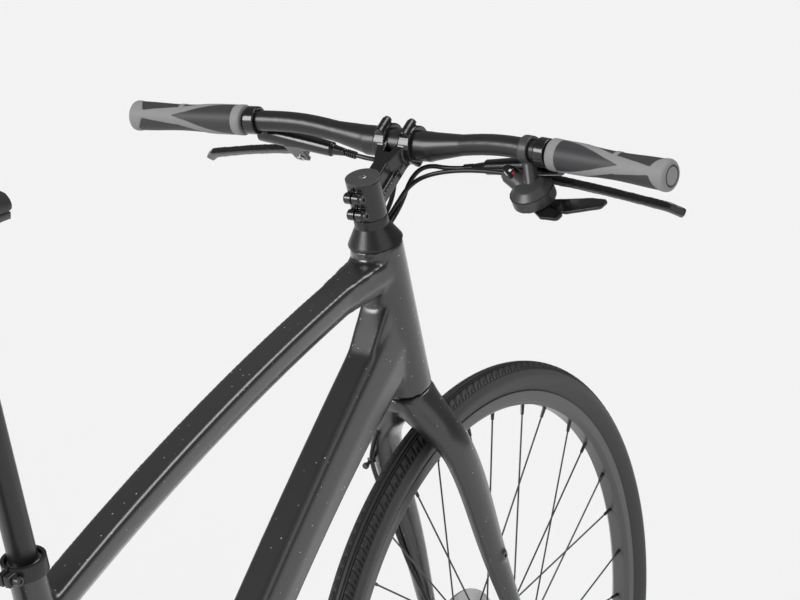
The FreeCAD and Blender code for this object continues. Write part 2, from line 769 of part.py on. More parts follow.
def spokes(centre, left_flange, right_flange):
    """Crossed spokes with their nipples, half of them from each hub flange."""
    rim_inside = bead_radius + 6 - rim_depth - 0.45
    hole_circle = flange_radius - 4.5
    per_side = spoke_count // 2
    step = 360 / per_side
    bars = []
    for side, flange in ((1, left_flange), (-1, right_flange)):
        for k in range(per_side):
            lead = 1 if k % 2 else -1
            rim_angle = k * step + (0 if side > 0 else step / 2)
            clear = flange_thickness / 2 + spoke_radius + (1.9 if lead > 0 else 0.1)
            foot = polar(rim_angle + lead * spoke_crosses * step)
            start = centre + foot * hole_circle + Y * (flange + side * lead * clear)
            end = centre + polar(rim_angle) * rim_inside + Y * side * 2
            nipple = end - unit(end - start) * nipple_length
            bars.append(joined([bar_of_six(start, end, spoke_radius),
                                bar_of_six(nipple, end, nipple_radius)]))
    return group(bars)


def front_hub():
    """Shell with two spoke flanges and a seat for the rotor on the left."""
    bore = axle_radius + running_gap
    end = front_hub_width / 2 - locknut_width
    half = flange_thickness / 2
    seat = front_hub_width / 2 - front_rotor_inset
    profile = [(bore, -end), (12, -end), (15, -front_right_flange - half),
               (flange_radius, -front_right_flange - half),
               (flange_radius, half - front_right_flange), (flange_radius - 10, half - front_right_flange),
               (14, half + 3 - front_right_flange), (14, front_left_flange - half - 3),
               (flange_radius - 10, front_left_flange - half), (flange_radius, front_left_flange - half),
               (flange_radius, front_left_flange + half), (rotor_seat_radius, front_left_flange + half),
               (rotor_seat_radius, seat + 2), (12, seat + 2), (12, end), (bore, end)]
    return spun(profile, front_axle)


def rear_hub():
    """Shell with two spoke flanges; its right end stops beside the freewheel body."""
    bore = axle_radius + running_gap
    end = rear_hub_width / 2 - locknut_width
    half = flange_thickness / 2
    seat = rear_hub_width / 2 - rear_rotor_inset
    profile = [(bore, -rear_right_flange - half - 1), (16, -rear_right_flange - half - 1),
               (flange_radius, -rear_right_flange - half),
               (flange_radius, half - rear_right_flange), (flange_radius - 9, half - rear_right_flange),
               (16, half + 3 - rear_right_flange), (16, rear_left_flange - half - 3),
               (flange_radius - 9, rear_left_flange - half), (flange_radius, rear_left_flange - half),
               (flange_radius, rear_left_flange + half), (rotor_seat_radius, rear_left_flange + half),
               (rotor_seat_radius, seat + 2), (12, seat + 2), (12, end), (bore, end)]
    return spun(profile, rear_axle)


def rotor(axle, inset, hub_width):
    """Brake disc: friction ring on six slanted arms."""
    centre = axle + Y * (hub_width / 2 - inset)
    low = centre - Y * rotor_thickness / 2
    high = centre + Y * rotor_thickness / 2
    pieces = [ring(low, high, rotor_radius, rotor_radius - rotor_track),
              ring(low, high, 26, rotor_seat_radius + running_gap)]
    for k in range(6):
        inside = polar(60 * k)
        outside = polar(60 * k + 24)
        across = unit(outside.cross(Y)) * 4
        reach = rotor_radius - rotor_track + 2
        corners = [low + inside * 22 + across, low + outside * reach + across,
                   low + outside * reach - across, low + inside * 22 - across]
        pieces.append(slab(corners, high - low))
    return joined(pieces)


def axle_set(axle, hub_width, right_inset):
    """Fixed axle, locknuts against the frame ends, skewer nut on the right and lever head on the left."""
    half = hub_width / 2
    outside = half + dropout_thickness + clear_gap
    body = [rod(axle - Y * (half + dropout_thickness - 1), axle + Y * (half + dropout_thickness - 1),
                axle_radius),
            rod(axle - Y * half, axle - Y * (half - right_inset), 8.5),
            rod(axle + Y * (half - locknut_width + clear_gap), axle + Y * half, 8.5),
            rod(axle - Y * (outside + 12), axle + Y * (outside + 4), 2.5),
            cone(axle - Y * outside, axle - Y * (outside + 11), 9.5, 7.0),
            rod(axle + Y * outside, axle + Y * (outside + 3.5), 9.5)]
    return body, axle + Y * (outside + 10)


def skewer_head(axle, pivot, aim):
    """Two ears and the cross pin that the quick-release lever turns on."""
    across = unit(Y.cross(aim))
    pieces = [rod(pivot - across * 11, pivot + across * 11, skewer_pin_radius)]
    for side in (-1, 1):
        base = pivot + across * side * 8.2
        corners = [base + aim * a + Y * y for a, y in ((-5.5, -8), (5.5, -8), (5.5, 3), (0, 6), (-5.5, 3))]
        pieces.append(slab(corners, across * side * 2.6))
    return pieces


def quick_release(pivot, aim):
    """Lever of the quick release, closed along its aim."""
    across = unit(Y.cross(aim))
    barrel = rod(pivot - across * 7.8, pivot + across * 7.8, 6.0)
    outline = [(-2, 5.5), (14, 6), (40, 12), (62, 13), (62, 17), (40, 17), (12, 11), (-2, 8)]
    arm = slab([pivot + aim * a + Y * (y - 4) - across * 6 for a, y in outline], across * 12, 1.5)
    bore = rod(pivot - across * 20, pivot + across * 20, skewer_pin_radius + running_gap)
    return joined([barrel, arm]).cut(bore)


front_lever_aim = steer_up
rear_lever_aim = polar(40)


def front_axle_set():
    body, pivot = axle_set(front_axle, front_hub_width, locknut_width - clear_gap)
    return joined(body + skewer_head(front_axle, pivot, front_lever_aim)), quick_release(pivot,
                                                                                         front_lever_aim)


def rear_axle_set():
    body, pivot = axle_set(rear_axle, rear_hub_width, 2.6)
    return joined(body + skewer_head(rear_axle, pivot, rear_lever_aim)), quick_release(pivot,
                                                                                       rear_lever_aim)


# Brake calipers
def caliper_frame(axle, hub_width, inset, radial):
    centre = axle + Y * (hub_width / 2 - inset) + radial * (rotor_radius - rotor_track / 2)
    return in_frame(centre, radial, Y)


def caliper_block(point):
    """Outer form of a caliper, before its slot is cut."""
    outline = [(-9, -25), (15, -30), (22, -14), (22, 14), (15, 30), (-9, 25)]
    return slab([point(x, -15, z) for x, z in outline], Y * 32, 5.0)


def caliper(point):
    """Two-piston caliper: slotted body, piston caps and a pad on each side of the rotor."""
    slot = slab([point(x, -3.9, z) for x, z in ((-15, -40), (11, -40), (11, 40), (-15, 40))], Y * 7.8)
    caps = [rod(point(1, -15.8, 0), point(1, -15, 0), 9.5), rod(point(1, 17, 0), point(1, 19, 0), 9.5)]
    body = joined([caliper_block(point).cut(slot)] + caps)
    gap = rotor_thickness / 2 + clear_gap
    pads = []
    for side in (-1, 1):
        corners = [point(x, side * gap, z) for x, z in ((-8, -12), (7, -12), (7, 12), (-8, 12))]
        pads.append(slab(corners, Y * side * (3.8 - gap), 3.0))
    return group([body] + pads)


front_caliper_frame = caliper_frame(front_axle, front_hub_width, front_rotor_inset,
                                    unit(steer_forward * -0.77 + steer_up * 0.64))
rear_caliper_frame = caliper_frame(rear_axle, rear_hub_width, rear_rotor_inset, polar(30))


def front_caliper_block():
    return caliper_block(front_caliper_frame)


def rear_caliper_block():
    return caliper_block(rear_caliper_frame)


# Drivetrain
def pitch_radius(teeth):
    return chain_pitch / (2 * math.sin(math.pi / teeth))


def toothed(centre, teeth, phase, thickness, inner):
    """Toothed ring in the chain's plane, with a gap at the phase angle and after every pitch."""
    low = pitch_radius(teeth) - roller_radius - 0.3
    high = pitch_radius(teeth) + 3.0
    corners = []
    for k in range(teeth):
        angle = phase + 360 * k / teeth
        for radius, shift in ((low, -3.4), (low, 3.4), (high, 5.4)):
            corners.append(centre + polar(angle + math.degrees(shift / radius)) * radius)
        after = phase + 360 * (k + 1) / teeth
        corners.append(centre + polar(after - math.degrees(5.4 / high)) * high)
    start = Y * -thickness / 2
    plate = slab([corner + start for corner in corners], Y * thickness)
    return plate.cut(rod(centre - Y * thickness, centre + Y * thickness, inner))


cage_axis = rear_axle + vec(58, 0, -66)
guide_offset = vec(2, 0, -19)
tension_offset = guide_offset + polar(-70) * pulley_spacing


def about_cage(offset, angle):
    """Point of the cage when it is turned by an angle in the bike's plane."""
    turn = math.radians(angle)
    x = offset.x * math.cos(turn) - offset.z * math.sin(turn)
    z = offset.x * math.sin(turn) + offset.z * math.cos(turn)
    return cage_axis + vec(x, 0, z)


def chain_path(angle):
    """Runs and arcs of the closed chain loop for one cage angle, as (length, point function, wheel)."""
    wheels = [(bracket, pitch_radius(chainring_teeth), 1),
              (about_cage(tension_offset, angle), pitch_radius(pulley_teeth), 1),
              (about_cage(guide_offset, angle), pitch_radius(pulley_teeth), -1),
              (rear_axle, pitch_radius(cassette_teeth[driven_sprocket]), 1)]
    aims = []
    for i, (centre, radius, sense) in enumerate(wheels):
        other, other_radius, other_sense = wheels[(i + 1) % len(wheels)]
        across = other - centre
        aim = math.atan2(across.z, across.x) - math.asin((sense * radius
                                                          - other_sense * other_radius) / across.Length)
        aims.append(aim)
    pieces = []
    for i, (centre, radius, sense) in enumerate(wheels):
        start = aims[i - 1] + math.pi / 2 * sense
        sweep = (aims[i - 1] - aims[i]) * sense % (2 * math.pi)

        def on_arc(length, centre=centre, radius=radius, sense=sense, start=start):
            return centre + polar(math.degrees(start - sense * length / radius)) * radius

        pieces.append((sweep * radius, on_arc, i))
        leave = on_arc(sweep * radius)
        other, other_radius, other_sense = wheels[(i + 1) % len(wheels)]
        meet = other + polar(math.degrees(aims[i]) + 90 * other_sense) * other_radius

        def on_run(length, leave=leave, meet=meet):
            return leave + unit(meet - leave) * length

        pieces.append(((meet - leave).Length, on_run, None))
    return pieces


def chain_pins(angle, count):
    """Pins marched round the loop by their exact pitch, and how far the last one overshoots."""
    pieces = chain_path(angle)
    total = sum(piece[0] for piece in pieces)

    def place(distance):
        distance = distance % total
        for length, function, wheel in pieces:
            if distance < length:
                return function(distance), wheel
            distance -= length
        return pieces[0][1](0), 0

    at = 1.0
    pins = [place(at)]
    for _ in range(count):
        low = at + chain_pitch * 0.99
        high = at + chain_pitch * 1.05
        for _ in range(36):
            middle = (low + high) / 2
            if (place(middle)[0] - pins[-1][0]).Length < chain_pitch:
                low = middle
            else:
                high = middle
        at = high
        pins.append(place(at))
    return pins, at - 1.0 - total


def solve_cage(count):
    """Cage angle at which this many links close the loop."""
    low = -35.0
    high = 35.0
    rising = chain_pins(high, count)[1] > chain_pins(low, count)[1]
    for _ in range(30):
        middle = (low + high) / 2
        if (chain_pins(middle, count)[1] > 0) == rising:
            high = middle
        else:
            low = middle
    return (low + high) / 2


cage_angle = solve_cage(chain_links)
pins, misfit = chain_pins(cage_angle, chain_links)
guide_centre = about_cage(guide_offset, cage_angle)
tension_centre = about_cage(tension_offset, cage_angle)
chain_plane = Y * -chain_line


def tooth_phase(wheel, centre):
    """Angle of the pin that lies nearest the middle of a wheel's arc."""
    on_wheel = [point for point, where in pins if where == wheel]
    pin = on_wheel[len(on_wheel) // 2] - centre
    return math.degrees(math.atan2(pin.z, pin.x))


def link_plate(near, far):
    """One side plate of a link from the origin along X, between two distances from the middle."""
    half = plate_height / 2
    outline = [(-half, -1.6), (-1.6, -half), (chain_pitch + 1.6, -half), (chain_pitch + half, -1.6),
               (chain_pitch + half, 1.6), (chain_pitch + 1.6, half), (-1.6, half), (-half, 1.6)]
    return slab([vec(x, near, z) for x, z in outline], Y * (far - near))


def chain():
    """Closed roller chain of inner links with rollers and outer links."""
    inner = chain_gap / 2
    plate = inner + plate_thickness
    outer = plate + plate_clearance
    rollers = [bar_of_six(vec(x, -inner, 0), vec(x, inner, 0), roller_radius - 0.3, X) for x in (0,
                                                                                                 chain_pitch)]
    inside = joined([link_plate(inner, plate), link_plate(-plate, -inner)] + rollers)
    outside = group([link_plate(outer, outer + plate_thickness),
                     link_plate(-outer - plate_thickness, -outer)])
    links = []
    for k in range(chain_links):
        start = pins[k][0]
        run = pins[k + 1][0] - start
        link = (inside if k % 2 == 0 else outside).copy()
        turn = FreeCAD.Rotation(unit(run), Y, unit(run).cross(Y), "XYZ")
        link.Placement = FreeCAD.Placement(start + chain_plane, turn)
        links.append(link)
    return group(links)


def cassette():
    """Freewheel body with its sprockets and the spacers between them."""
    bore = axle_radius + running_gap
    inside = -rear_right_flange - flange_thickness / 2 - 1 - clear_gap
    outside = locknut_inset - rear_hub_width / 2 + clear_gap
    body = rod(rear_axle + Y * outside, rear_axle + Y * inside, freewheel_radius)
    pieces = [body.cut(rod(rear_axle + Y * outside, rear_axle + Y * inside, bore))]
    for k, teeth in enumerate(cassette_teeth):
        y = -chain_line + (driven_sprocket - k) * sprocket_step
        phase = tooth_phase(3, rear_axle) if k == driven_sprocket else 90.0
        pieces.append(toothed(rear_axle + Y * y, teeth, phase, tooth_thickness, freewheel_radius))
        if k:
            pieces.append(ring(rear_axle + Y * (y + tooth_thickness / 2),
                               rear_axle + Y * (y + sprocket_step - tooth_thickness / 2),
                               freewheel_radius + 1.2, freewheel_radius))
    return group(pieces)


def chainring():
    """Chainring with four inner tabs for its bolts."""
    centre = bracket + chain_plane
    inner = pitch_radius(chainring_teeth) - 17
    plate = toothed(centre, chainring_teeth, tooth_phase(0, bracket), tooth_thickness, inner)
    tabs = []
    for k in range(4):
        point = in_frame(centre - Y * tooth_thickness / 2, polar(45 + 90 * k), Y)
        tabs.append(slab([point(x, 0, z) for x, z in ((47, -6), (66, -11), (66, 11), (47, 6))],
                         Y * tooth_thickness))
    return joined([plate] + tabs)


def crank_arm(aim, side):
    """Arm from the spindle out to the pedal, with the pedal's spindle screwed in."""
    root = bracket + Y * side * crank_root
    tip = bracket + aim * crank_length + Y * side * crank_tip
    wires = []
    for share, wide, thick in ((0.02, 17.0, 7.5), (0.5, 14.0, 6.5), (0.98, 12.0, 6.2)):
        centre = root + (tip - root) * share
        corners = [centre + Z * z + Y * y for z,
                   y in ((-wide, -thick), (wide, -thick), (wide, thick), (-wide, thick))]
        wires.append(rounded_wire(corners, 4.0))
    boss = rod(bracket + Y * side * (crank_root - 9), bracket + Y * side * (crank_root + 9), 18.0)
    eye = rod(tip - Y * side * 6.5, tip + Y * side * 6.5, 13.0)
    pedal_inner = tip + Y * side * 6.5
    collar = rod(pedal_inner, pedal_inner + Y * side * 2.5, 8.0)
    spindle = rod(tip, tip + Y * side * (pedal_reach + pedal_width / 2 - 5), pedal_spindle_radius)
    return [Part.makeLoft(wires, True, False), boss, eye, collar, spindle]


def crank_arm_right():
    """Drive-side arm with the spindle and the four-armed spider in one piece."""
    spindle = rod(bracket - Y * crank_root, bracket + Y * (crank_root + 7), spindle_radius)
    face = bracket + chain_plane - Y * tooth_thickness / 2
    spider = []
    for k in range(4):
        point = in_frame(face, polar(45 + 90 * k), Y)
        spider.append(slab([point(x, 0, z) for x, z in ((0, -9), (54, -5.5), (54, 5.5), (0, 9))], Y * -4.3))
    return joined(crank_arm(X, -1) + [spindle] + spider)


def crank_arm_left():
    bore = rod(bracket, bracket + Y * (crank_root + 7), spindle_radius)
    return joined(crank_arm(X * -1, 1)).cut(bore)


def pedal(aim, side):
    """Platform pedal with two windows, turning on the crank's spindle."""
    tip = bracket + aim * crank_length + Y * side * crank_tip
    centre = tip + Y * side * pedal_reach
    half = pedal_width / 2
    length = pedal_length / 2
    corners = [(-length, 12 - half), (12 - length, -half), (length - 12, -half), (length, 12 - half),
               (length, half - 12), (length - 12, half), (12 - length, half), (-length, half - 12)]
    plate = slab([centre + vec(x, y, -8) for x, y in corners], Z * 16)
    windows = []
    for end in (-1, 1):
        window = [(15, 10 - half), (length - 8, 14 - half), (length - 8, half - 14), (15, half - 10)]
        windows.append(slab([centre + vec(end * x, y, -20) for x, y in window], Z * 40, 4.0))
    barrel = rod(centre - Y * half, centre + Y * half, 11.0)
    blind = rod(centre - Y * side * (half + 1), centre + Y * side * (half - 4.6),
                pedal_spindle_radius + running_gap)
    return joined([plate.cut(windows), barrel]).cut(blind)


# Rear derailleur
hanger_hole = rear_axle + vec(-9, 0, -29)
link_tilt = vec(0, 0.57, 0.82) / math.hypot(0.57, 0.82)
hanger_face = -rear_hub_width / 2 - clear_gap / 3 - dropout_thickness
link_start = rear_axle + vec(4, hanger_face - 9.4, -47)
link_end = link_start + vec(36, 14, -14 * 0.57 / 0.82)


def derailleur_hanger():
    """Replaceable plate behind the right dropout, with the derailleur's hole."""
    outline = [(-24, 14), (-12, 14), (-12, -6), (-2, -16), (4, -22), (0, -40), (-18, -40), (-24, -10)]
    plate = slab([rear_axle + vec(x, hanger_face, z) for x, z in outline], Y * -hanger_thickness, 3.0)
    return plate.cut(rod(hanger_hole, hanger_hole + Y * hanger_face * 2, hanger_bolt_radius))


def clevis(pivot, toward, reach):
    """Two cheeks round a tilted pin, held by a piece at some distance."""
    flat = unit(toward - link_tilt * toward.dot(link_tilt))
    point = in_frame(pivot, flat, link_tilt.cross(flat))
    outline = [(-6, -5), (reach, -6.5), (reach, 6.5), (-6, 5)]
    cheeks = []
    for low in (5.3, -8.3):
        cheeks.append(slab([point(x, y, low) for x, y in outline], link_tilt * 3, 3.0))
    return cheeks + [rod(pivot - link_tilt * 7, pivot + link_tilt * 7, link_pin_radius)]


def derailleur_mount():
    """Knuckle bolted to the hanger, with the clevis for the link."""
    outer = hanger_hole + Y * (hanger_face - hanger_thickness)
    bolt = rod(outer, hanger_hole + Y * (hanger_face + 1), hanger_bolt_radius)
    drum = rod(outer, outer - Y * 14, 10.5)
    middle = outer - Y * 7
    return joined([drum, bolt] + clevis(link_start, middle - link_start, 18))


def derailleur_link():
    """Main link of the parallelogram, with a bore at each end."""
    run = link_end - link_start
    point = in_frame(link_start, run, link_tilt.cross(run))
    long = run.Length
    outline = [(-6, -6), (long + 6, -6), (long + 6, 6), (-6, 6)]
    bar = slab([point(x, y, -4.9) for x, y in outline], link_tilt * 9.8, 5.9)
    bores = [rod(p - link_tilt * 9, p + link_tilt * 9, link_pin_radius + running_gap) for p in (link_start,
                                                                                                link_end)]
    return bar.cut(bores)


knuckle_outer = hanger_face + 6.6
knuckle_inner = hanger_face + 21.6


def derailleur_knuckle():
    """Moving knuckle: clevis on the link and the drum that the cage turns in."""
    drum = rod(cage_axis + Y * knuckle_outer, cage_axis + Y * knuckle_inner, 11.0)
    middle = cage_axis + Y * (knuckle_outer + knuckle_inner) / 2
    body = joined([drum] + clevis(link_end, middle - link_end, 17))
    return body.cut(rod(cage_axis + Y * (knuckle_outer + 4), cage_axis + Y * (knuckle_inner + 1),
                        cage_pin_radius + running_gap))


def cage_plate(low, points, widths):
    """Plate of the pulley cage: round pads joined by bars."""
    pieces = []
    for centre, radius in zip(points, widths):
        pieces.append(rod(centre + Y * low, centre + Y * (low + cage_plate_thickness), radius))
    for (start, one), (end, two) in zip(zip(points, widths), zip(points[1:], widths[1:])):
        across = unit(Y.cross(end - start))
        corners = [start + across * one * 0.8, end + across * two * 0.8, end - across * two * 0.8,
                   start - across * one * 0.8]
        pieces.append(slab([corner + Y * low for corner in corners], Y * cage_plate_thickness))
    return joined(pieces)


def derailleur_cage():
    """Two plates that carry the guide and tension pulleys, on a pin in the knuckle."""
    outer = cage_plate(-chain_line - cage_half_width - cage_plate_thickness,
                       [cage_axis, guide_centre, tension_centre], [12, 9, 9])
    inner = cage_plate(-chain_line + cage_half_width, [guide_centre, tension_centre], [9, 9])
    pieces = [outer, inner]
    for centre in (guide_centre, tension_centre):
        near = centre - Y * (chain_line + cage_half_width + 0.5)
        pieces.append(rod(near, centre - Y * (chain_line - cage_half_width - 0.5), pulley_bolt_radius))
    pieces.append(rod(cage_axis + Y * (knuckle_outer + 5),
                      cage_axis - Y * (chain_line + cage_half_width + 0.5), cage_pin_radius))
    return joined(pieces)


def pulley(centre, wheel):
    """Jockey wheel with a wider middle and a bore for its bolt."""
    plate = toothed(centre + chain_plane, pulley_teeth, tooth_phase(wheel, centre), tooth_thickness,
                    pulley_bolt_radius + running_gap)
    half = cage_half_width - clear_gap
    middle = ring(centre + chain_plane - Y * half, centre + chain_plane + Y * half, 7.0,
                  pulley_bolt_radius + running_gap)
    return joined([plate, middle])


# Seatpost and saddle
post_top = bracket + seat_up * (saddle_height - saddle_stack)
seatpost_length = saddle_height - saddle_stack - seat_tube_length + post_insertion
saddle_top = (bracket + seat_up * saddle_height).z
cradle = post_top + vec(-saddle_setback - 7, 0, 17)
rail_level = cradle.z
rail_side = rail_spacing / 2
nose = cradle.x + saddle_length * 0.42


def saddle_rail():
    """Left rail, bowed in under the nose and out under the rear."""
    middle = rail_level
    route = [vec(nose - 218, 38, middle + 15), vec(nose - 178, rail_side, middle),
             vec(nose - 58, rail_side, middle),
             vec(nose - 14, 8, middle + 24)]
    return bent_rod(route, rail_radius)


def seatpost():
    """Round post with a level cradle for the rails at its head."""
    shaft = rod(post_top - seat_up * seatpost_length, post_top, seatpost_radius)
    block = slab([cradle + vec(x, -rail_side - 6, z) for x,
                  z in ((-20, -1), (-20, -9), (-8, -15), (12, -15), (20, -9), (20, -1))],
                 Y * (rail_spacing + 12))
    neck = Part.makeLoft([ellipse_section(post_top - seat_up * 30, Y, seatpost_radius - 0.1,
                                          seatpost_radius - 0.2, seat_up),
                          ellipse_section(cradle + vec(4, 0, -9), Y, 17.0, 12.0, Z)], True, False)
    holes = [rod(cradle + vec(x, 0, -60), cradle + vec(x, 0, 20), 2.6) for x in (-15, 15)]
    grooves = [rod(cradle + vec(-40, y, 0), cradle + vec(40, y, 0), rail_radius) for y in (-rail_side,
                                                                                           rail_side)]
    return joined([shaft, block, neck]).cut(grooves + holes)


def saddle_clamp():
    """Upper rail clamp with its two bolts."""
    block = slab([cradle + vec(x, -rail_side - 6, z) for x,
                  z in ((-20, 1), (20, 1), (20, 6), (14, 9), (-14, 9), (-20, 6))],
                 Y * (rail_spacing + 12))
    grooves = [rod(cradle + vec(-40, y, 0), cradle + vec(40, y, 0), rail_radius) for y in (-rail_side,
                                                                                           rail_side)]
    bolts = [rod(cradle + vec(x, 0, -13), cradle + vec(x, 0, 11), 2.5) for x in (-15, 15)]
    return joined([block.cut(grooves)] + bolts)


saddle_stations = ((0.0, 14, -7), (0.093, 18, -4), (0.222, 21, -3), (0.444, 31, -3), (0.63, 56, -2),
                   (0.778, 74, 0), (0.889, 80, 1), (0.97, 72, 0), (1.0, 55, -4))


def saddle_floor(share):
    return saddle_top - 24 - share * 10.8


def saddle_cover():
    """Padded saddle top: narrow nose, wide rear, rounded edges."""
    wires = []
    for share, half, rise in saddle_stations:
        half = half * saddle_width / 160
        top = saddle_top + rise
        x = nose - share * saddle_length
        floor = saddle_floor(share)
        edge = top - 7

        def at(y, z, x=x):
            return vec(x, y, z)

        low_right = at(-half * 0.9, floor)
        low_left = at(half * 0.9, floor)
        high_right = at(-half * 0.84, edge)
        high_left = at(half * 0.84, edge)
        edges = [Part.makeLine(low_right, low_left),
                 Part.Arc(low_left, at(half, (floor + edge) / 2), high_left).toShape(),
                 Part.Arc(high_left, at(0, top), high_right).toShape(),
                 Part.Arc(high_right, at(-half, (floor + edge) / 2), low_right).toShape()]
        wires.append(Part.Wire(edges))
    return Part.makeLoft(wires, True, False)


def saddle_base():
    """Stiff shell under the padding, with the rails' ends held in it."""
    wires = []
    for share, half, rise in saddle_stations[:-1]:
        wide = half * saddle_width / 160 * 0.86
        x = nose - share * saddle_length - 2
        high = saddle_floor(share + 2 / saddle_length)
        low = high - 6
        wires.append(Part.makePolygon([vec(x, -wide, low), vec(x, wide, low), vec(x, wide, high),
                                       vec(x, -wide, high), vec(x, -wide, low)]))
    shell = Part.makeLoft(wires, True, True)
    rail = saddle_rail()
    return shell.cut([rail, mirrored(rail)])


# Hoses and cables
def port(y):
    """Point where a hose enters the port of the headset cover."""
    return steer(17.6, y, head_tube_length + 7)


def bar_route(start, lead, side, shares):
    """Route from a control down to the port, by shares of the way in and steps from the bar's centre."""
    bar_up = head_tube_length + stem_rise
    route = [start, vec(start.x + lead.x, side + (start.y - side) * lead.y, start.z + lead.z)]
    for share, forward, up in shares:
        route.append(steer(stem_reach + forward, side + (start.y - side) * share, bar_up + up))
    return route + [port(side)]


def brake_hose_route():
    start = clamp_seat + vec(28, -100.4, -29)
    shares = ((0.3038, 8.09, -32.04), (0.0597, -3.85, -44.79), (0.0054, -29.5, -63.29))
    return bar_route(start, vec(2, 0.6203, -5), hose_port_side, shares)


def front_brake_hose():
    """Left lever to the cover's port, and the fork's exit to the front caliper."""
    upper = bent_rod(brake_hose_route(), hose_radius, "front brake hose at the bar")
    route = [(-14, 30, -38), (-30, 42, -70), (-22, 50, -100)]
    route += [(f, y, -fork_length * share) for f, y,
              share in ((-8, 54, 0.372), (1.5, 55, 0.496), (9, 54, 0.62))]
    low_end = ((-33.5, 48, 115.3), (-30.5, 44, 88.3), (-41.5, 44, 68.3))
    route += [(fork_rake + f, y, h - fork_length) for f, y, h in low_end]
    lower = bent_rod([steer(f, y, h) for f, y, h in route], hose_radius, "front brake hose at the fork")
    return upper, lower.cut(front_caliper_block())


def rear_hose_front():
    return mirrored(bent_rod(brake_hose_route(), hose_radius, "rear brake hose at the bar"))


def shift_cable_front():
    start = cable_start + vec(0.03, -0.4, 0.05)
    shares = ((0.3709, -8.94, -29.2), (0.1236, -16.5, -44.55), (0.0077, -34.82, -60.34))
    route = bar_route(start, vec(3, 0.7373, 0), 0, shares)
    return mirrored(bent_rod(route, cable_radius, "shift cable at the bar"))


def rear_brake_hose():
    route = [vec(175, 55, -27), vec(148, 57, -6), vec(120, 57, 17), vec(84, 55, 41)]
    return bent_rod([rear_axle + p for p in route], hose_radius,
                    "rear brake hose at the stay").cut(rear_caliper_block())


def rear_shift_cable():
    route = [vec(92, -65, -14.5), vec(70, -78, -18), vec(46, -89, -24), vec(22, -92, -27),
             vec(-4, -89, -28)]
    return bent_rod([rear_axle + p for p in route], cable_radius,
                    "shift cable at the stay").cut(derailleur_mount())


def pieces():
    """Every node of the bike with its shape."""
    upper_hose, lower_hose = front_brake_hose()
    stay_hose = rear_brake_hose()
    stay_cable = rear_shift_cable()
    stem, faceplate = stem_parts()
    front_axle_body, front_lever = front_axle_set()
    rear_axle_body, rear_lever = rear_axle_set()
    left_bracket = brake_bracket()
    left_lever = brake_lever()
    rail = saddle_rail()
    return {
        "frame": frame(),
        "top_tube": top_tube_between(),
        "rear_frame": rear_frame([stay_hose, stay_cable, rear_caliper_block()]),
        "derailleur_hanger": derailleur_hanger(),
        "seat_clamp": seat_clamp(),
        "headset_bearings": headset_bearings(),
        "bottom_bracket": bottom_bracket(),
        "rear_caliper": caliper(rear_caliper_frame),
        "rear_brake_hose": stay_hose,
        "rear_shift_cable": stay_cable,
        "derailleur_mount": derailleur_mount(),
        "rear_axle": rear_axle_body,
        "chain": chain(),
        "seatpost": group([seatpost(), saddle_clamp()]),
        "saddle_rails": group([rail, mirrored(rail)]),
        "saddle_base": saddle_base(),
        "saddle_cover": saddle_cover(),
        "fork": fork([lower_hose]),
        "headset_cover": headset_cover(),
        "stem": stem,
        "stem_faceplate": faceplate,
        "stem_top_cap": stem_top_cap(),
        "handlebar": handlebar(),
        "grip_left": grip(),
        "grip_right": mirrored(grip()),
        "brake_bracket_left": left_bracket,
        "brake_bracket_right": mirrored(left_bracket),
        "shifter_body": mirrored(shifter_body()),
        "front_brake_hose": group([upper_hose, lower_hose]),
        "rear_brake_hose_front": rear_hose_front(),
        "shift_cable_front": shift_cable_front(),
        "front_caliper": caliper(front_caliper_frame),
        "front_axle": front_axle_body,
        "brake_lever_left": left_lever,
        "brake_lever_right": mirrored(left_lever),
        "shift_lever": mirrored(shift_lever()),
        "shift_release_lever": mirrored(release_lever()),
        "front_quick_release": front_lever,
        "rear_quick_release": rear_lever,
        "front_tyre": tyre(front_axle),
        "front_rim": rim(front_axle),
        "front_spokes": spokes(front_axle, front_left_flange, -front_right_flange),
        "front_hub": front_hub(),
        "front_rotor": rotor(front_axle, front_rotor_inset, front_hub_width),
        "rear_tyre": tyre(rear_axle),
        "rear_rim": rim(rear_axle),
        "rear_spokes": spokes(rear_axle, rear_left_flange, -rear_right_flange),
        "rear_hub": rear_hub(),
        "rear_rotor": rotor(rear_axle, rear_rotor_inset, rear_hub_width),
        "cassette": cassette(),
        "crank_arm_right": crank_arm_right(),
        "crank_arm_left": crank_arm_left(),
        "chainring": chainring(),
        "pedal_left": pedal(X * -1, 1),
        "pedal_right": pedal(X, -1),
        "derailleur_link": derailleur_link(),
        "derailleur_knuckle": derailleur_knuckle(),
        "derailleur_cage": derailleur_cage(),
        "guide_pulley": pulley(guide_centre, 2),
        "tension_pulley": pulley(tension_centre, 1),
    }


if __name__ == "__main__":
    os.makedirs("parts", exist_ok=True)
    print(f"cage angle {cage_angle:.2f} degrees, chain misfit {misfit:.4f} mm")
    for name, shape in pieces().items():
        shape.exportStep(f"parts/{name}.step")
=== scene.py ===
"""Hybrid bike: finished looks over the construction model."""

import math

import bmesh
import bpy
from mathutils import Matrix, Vector


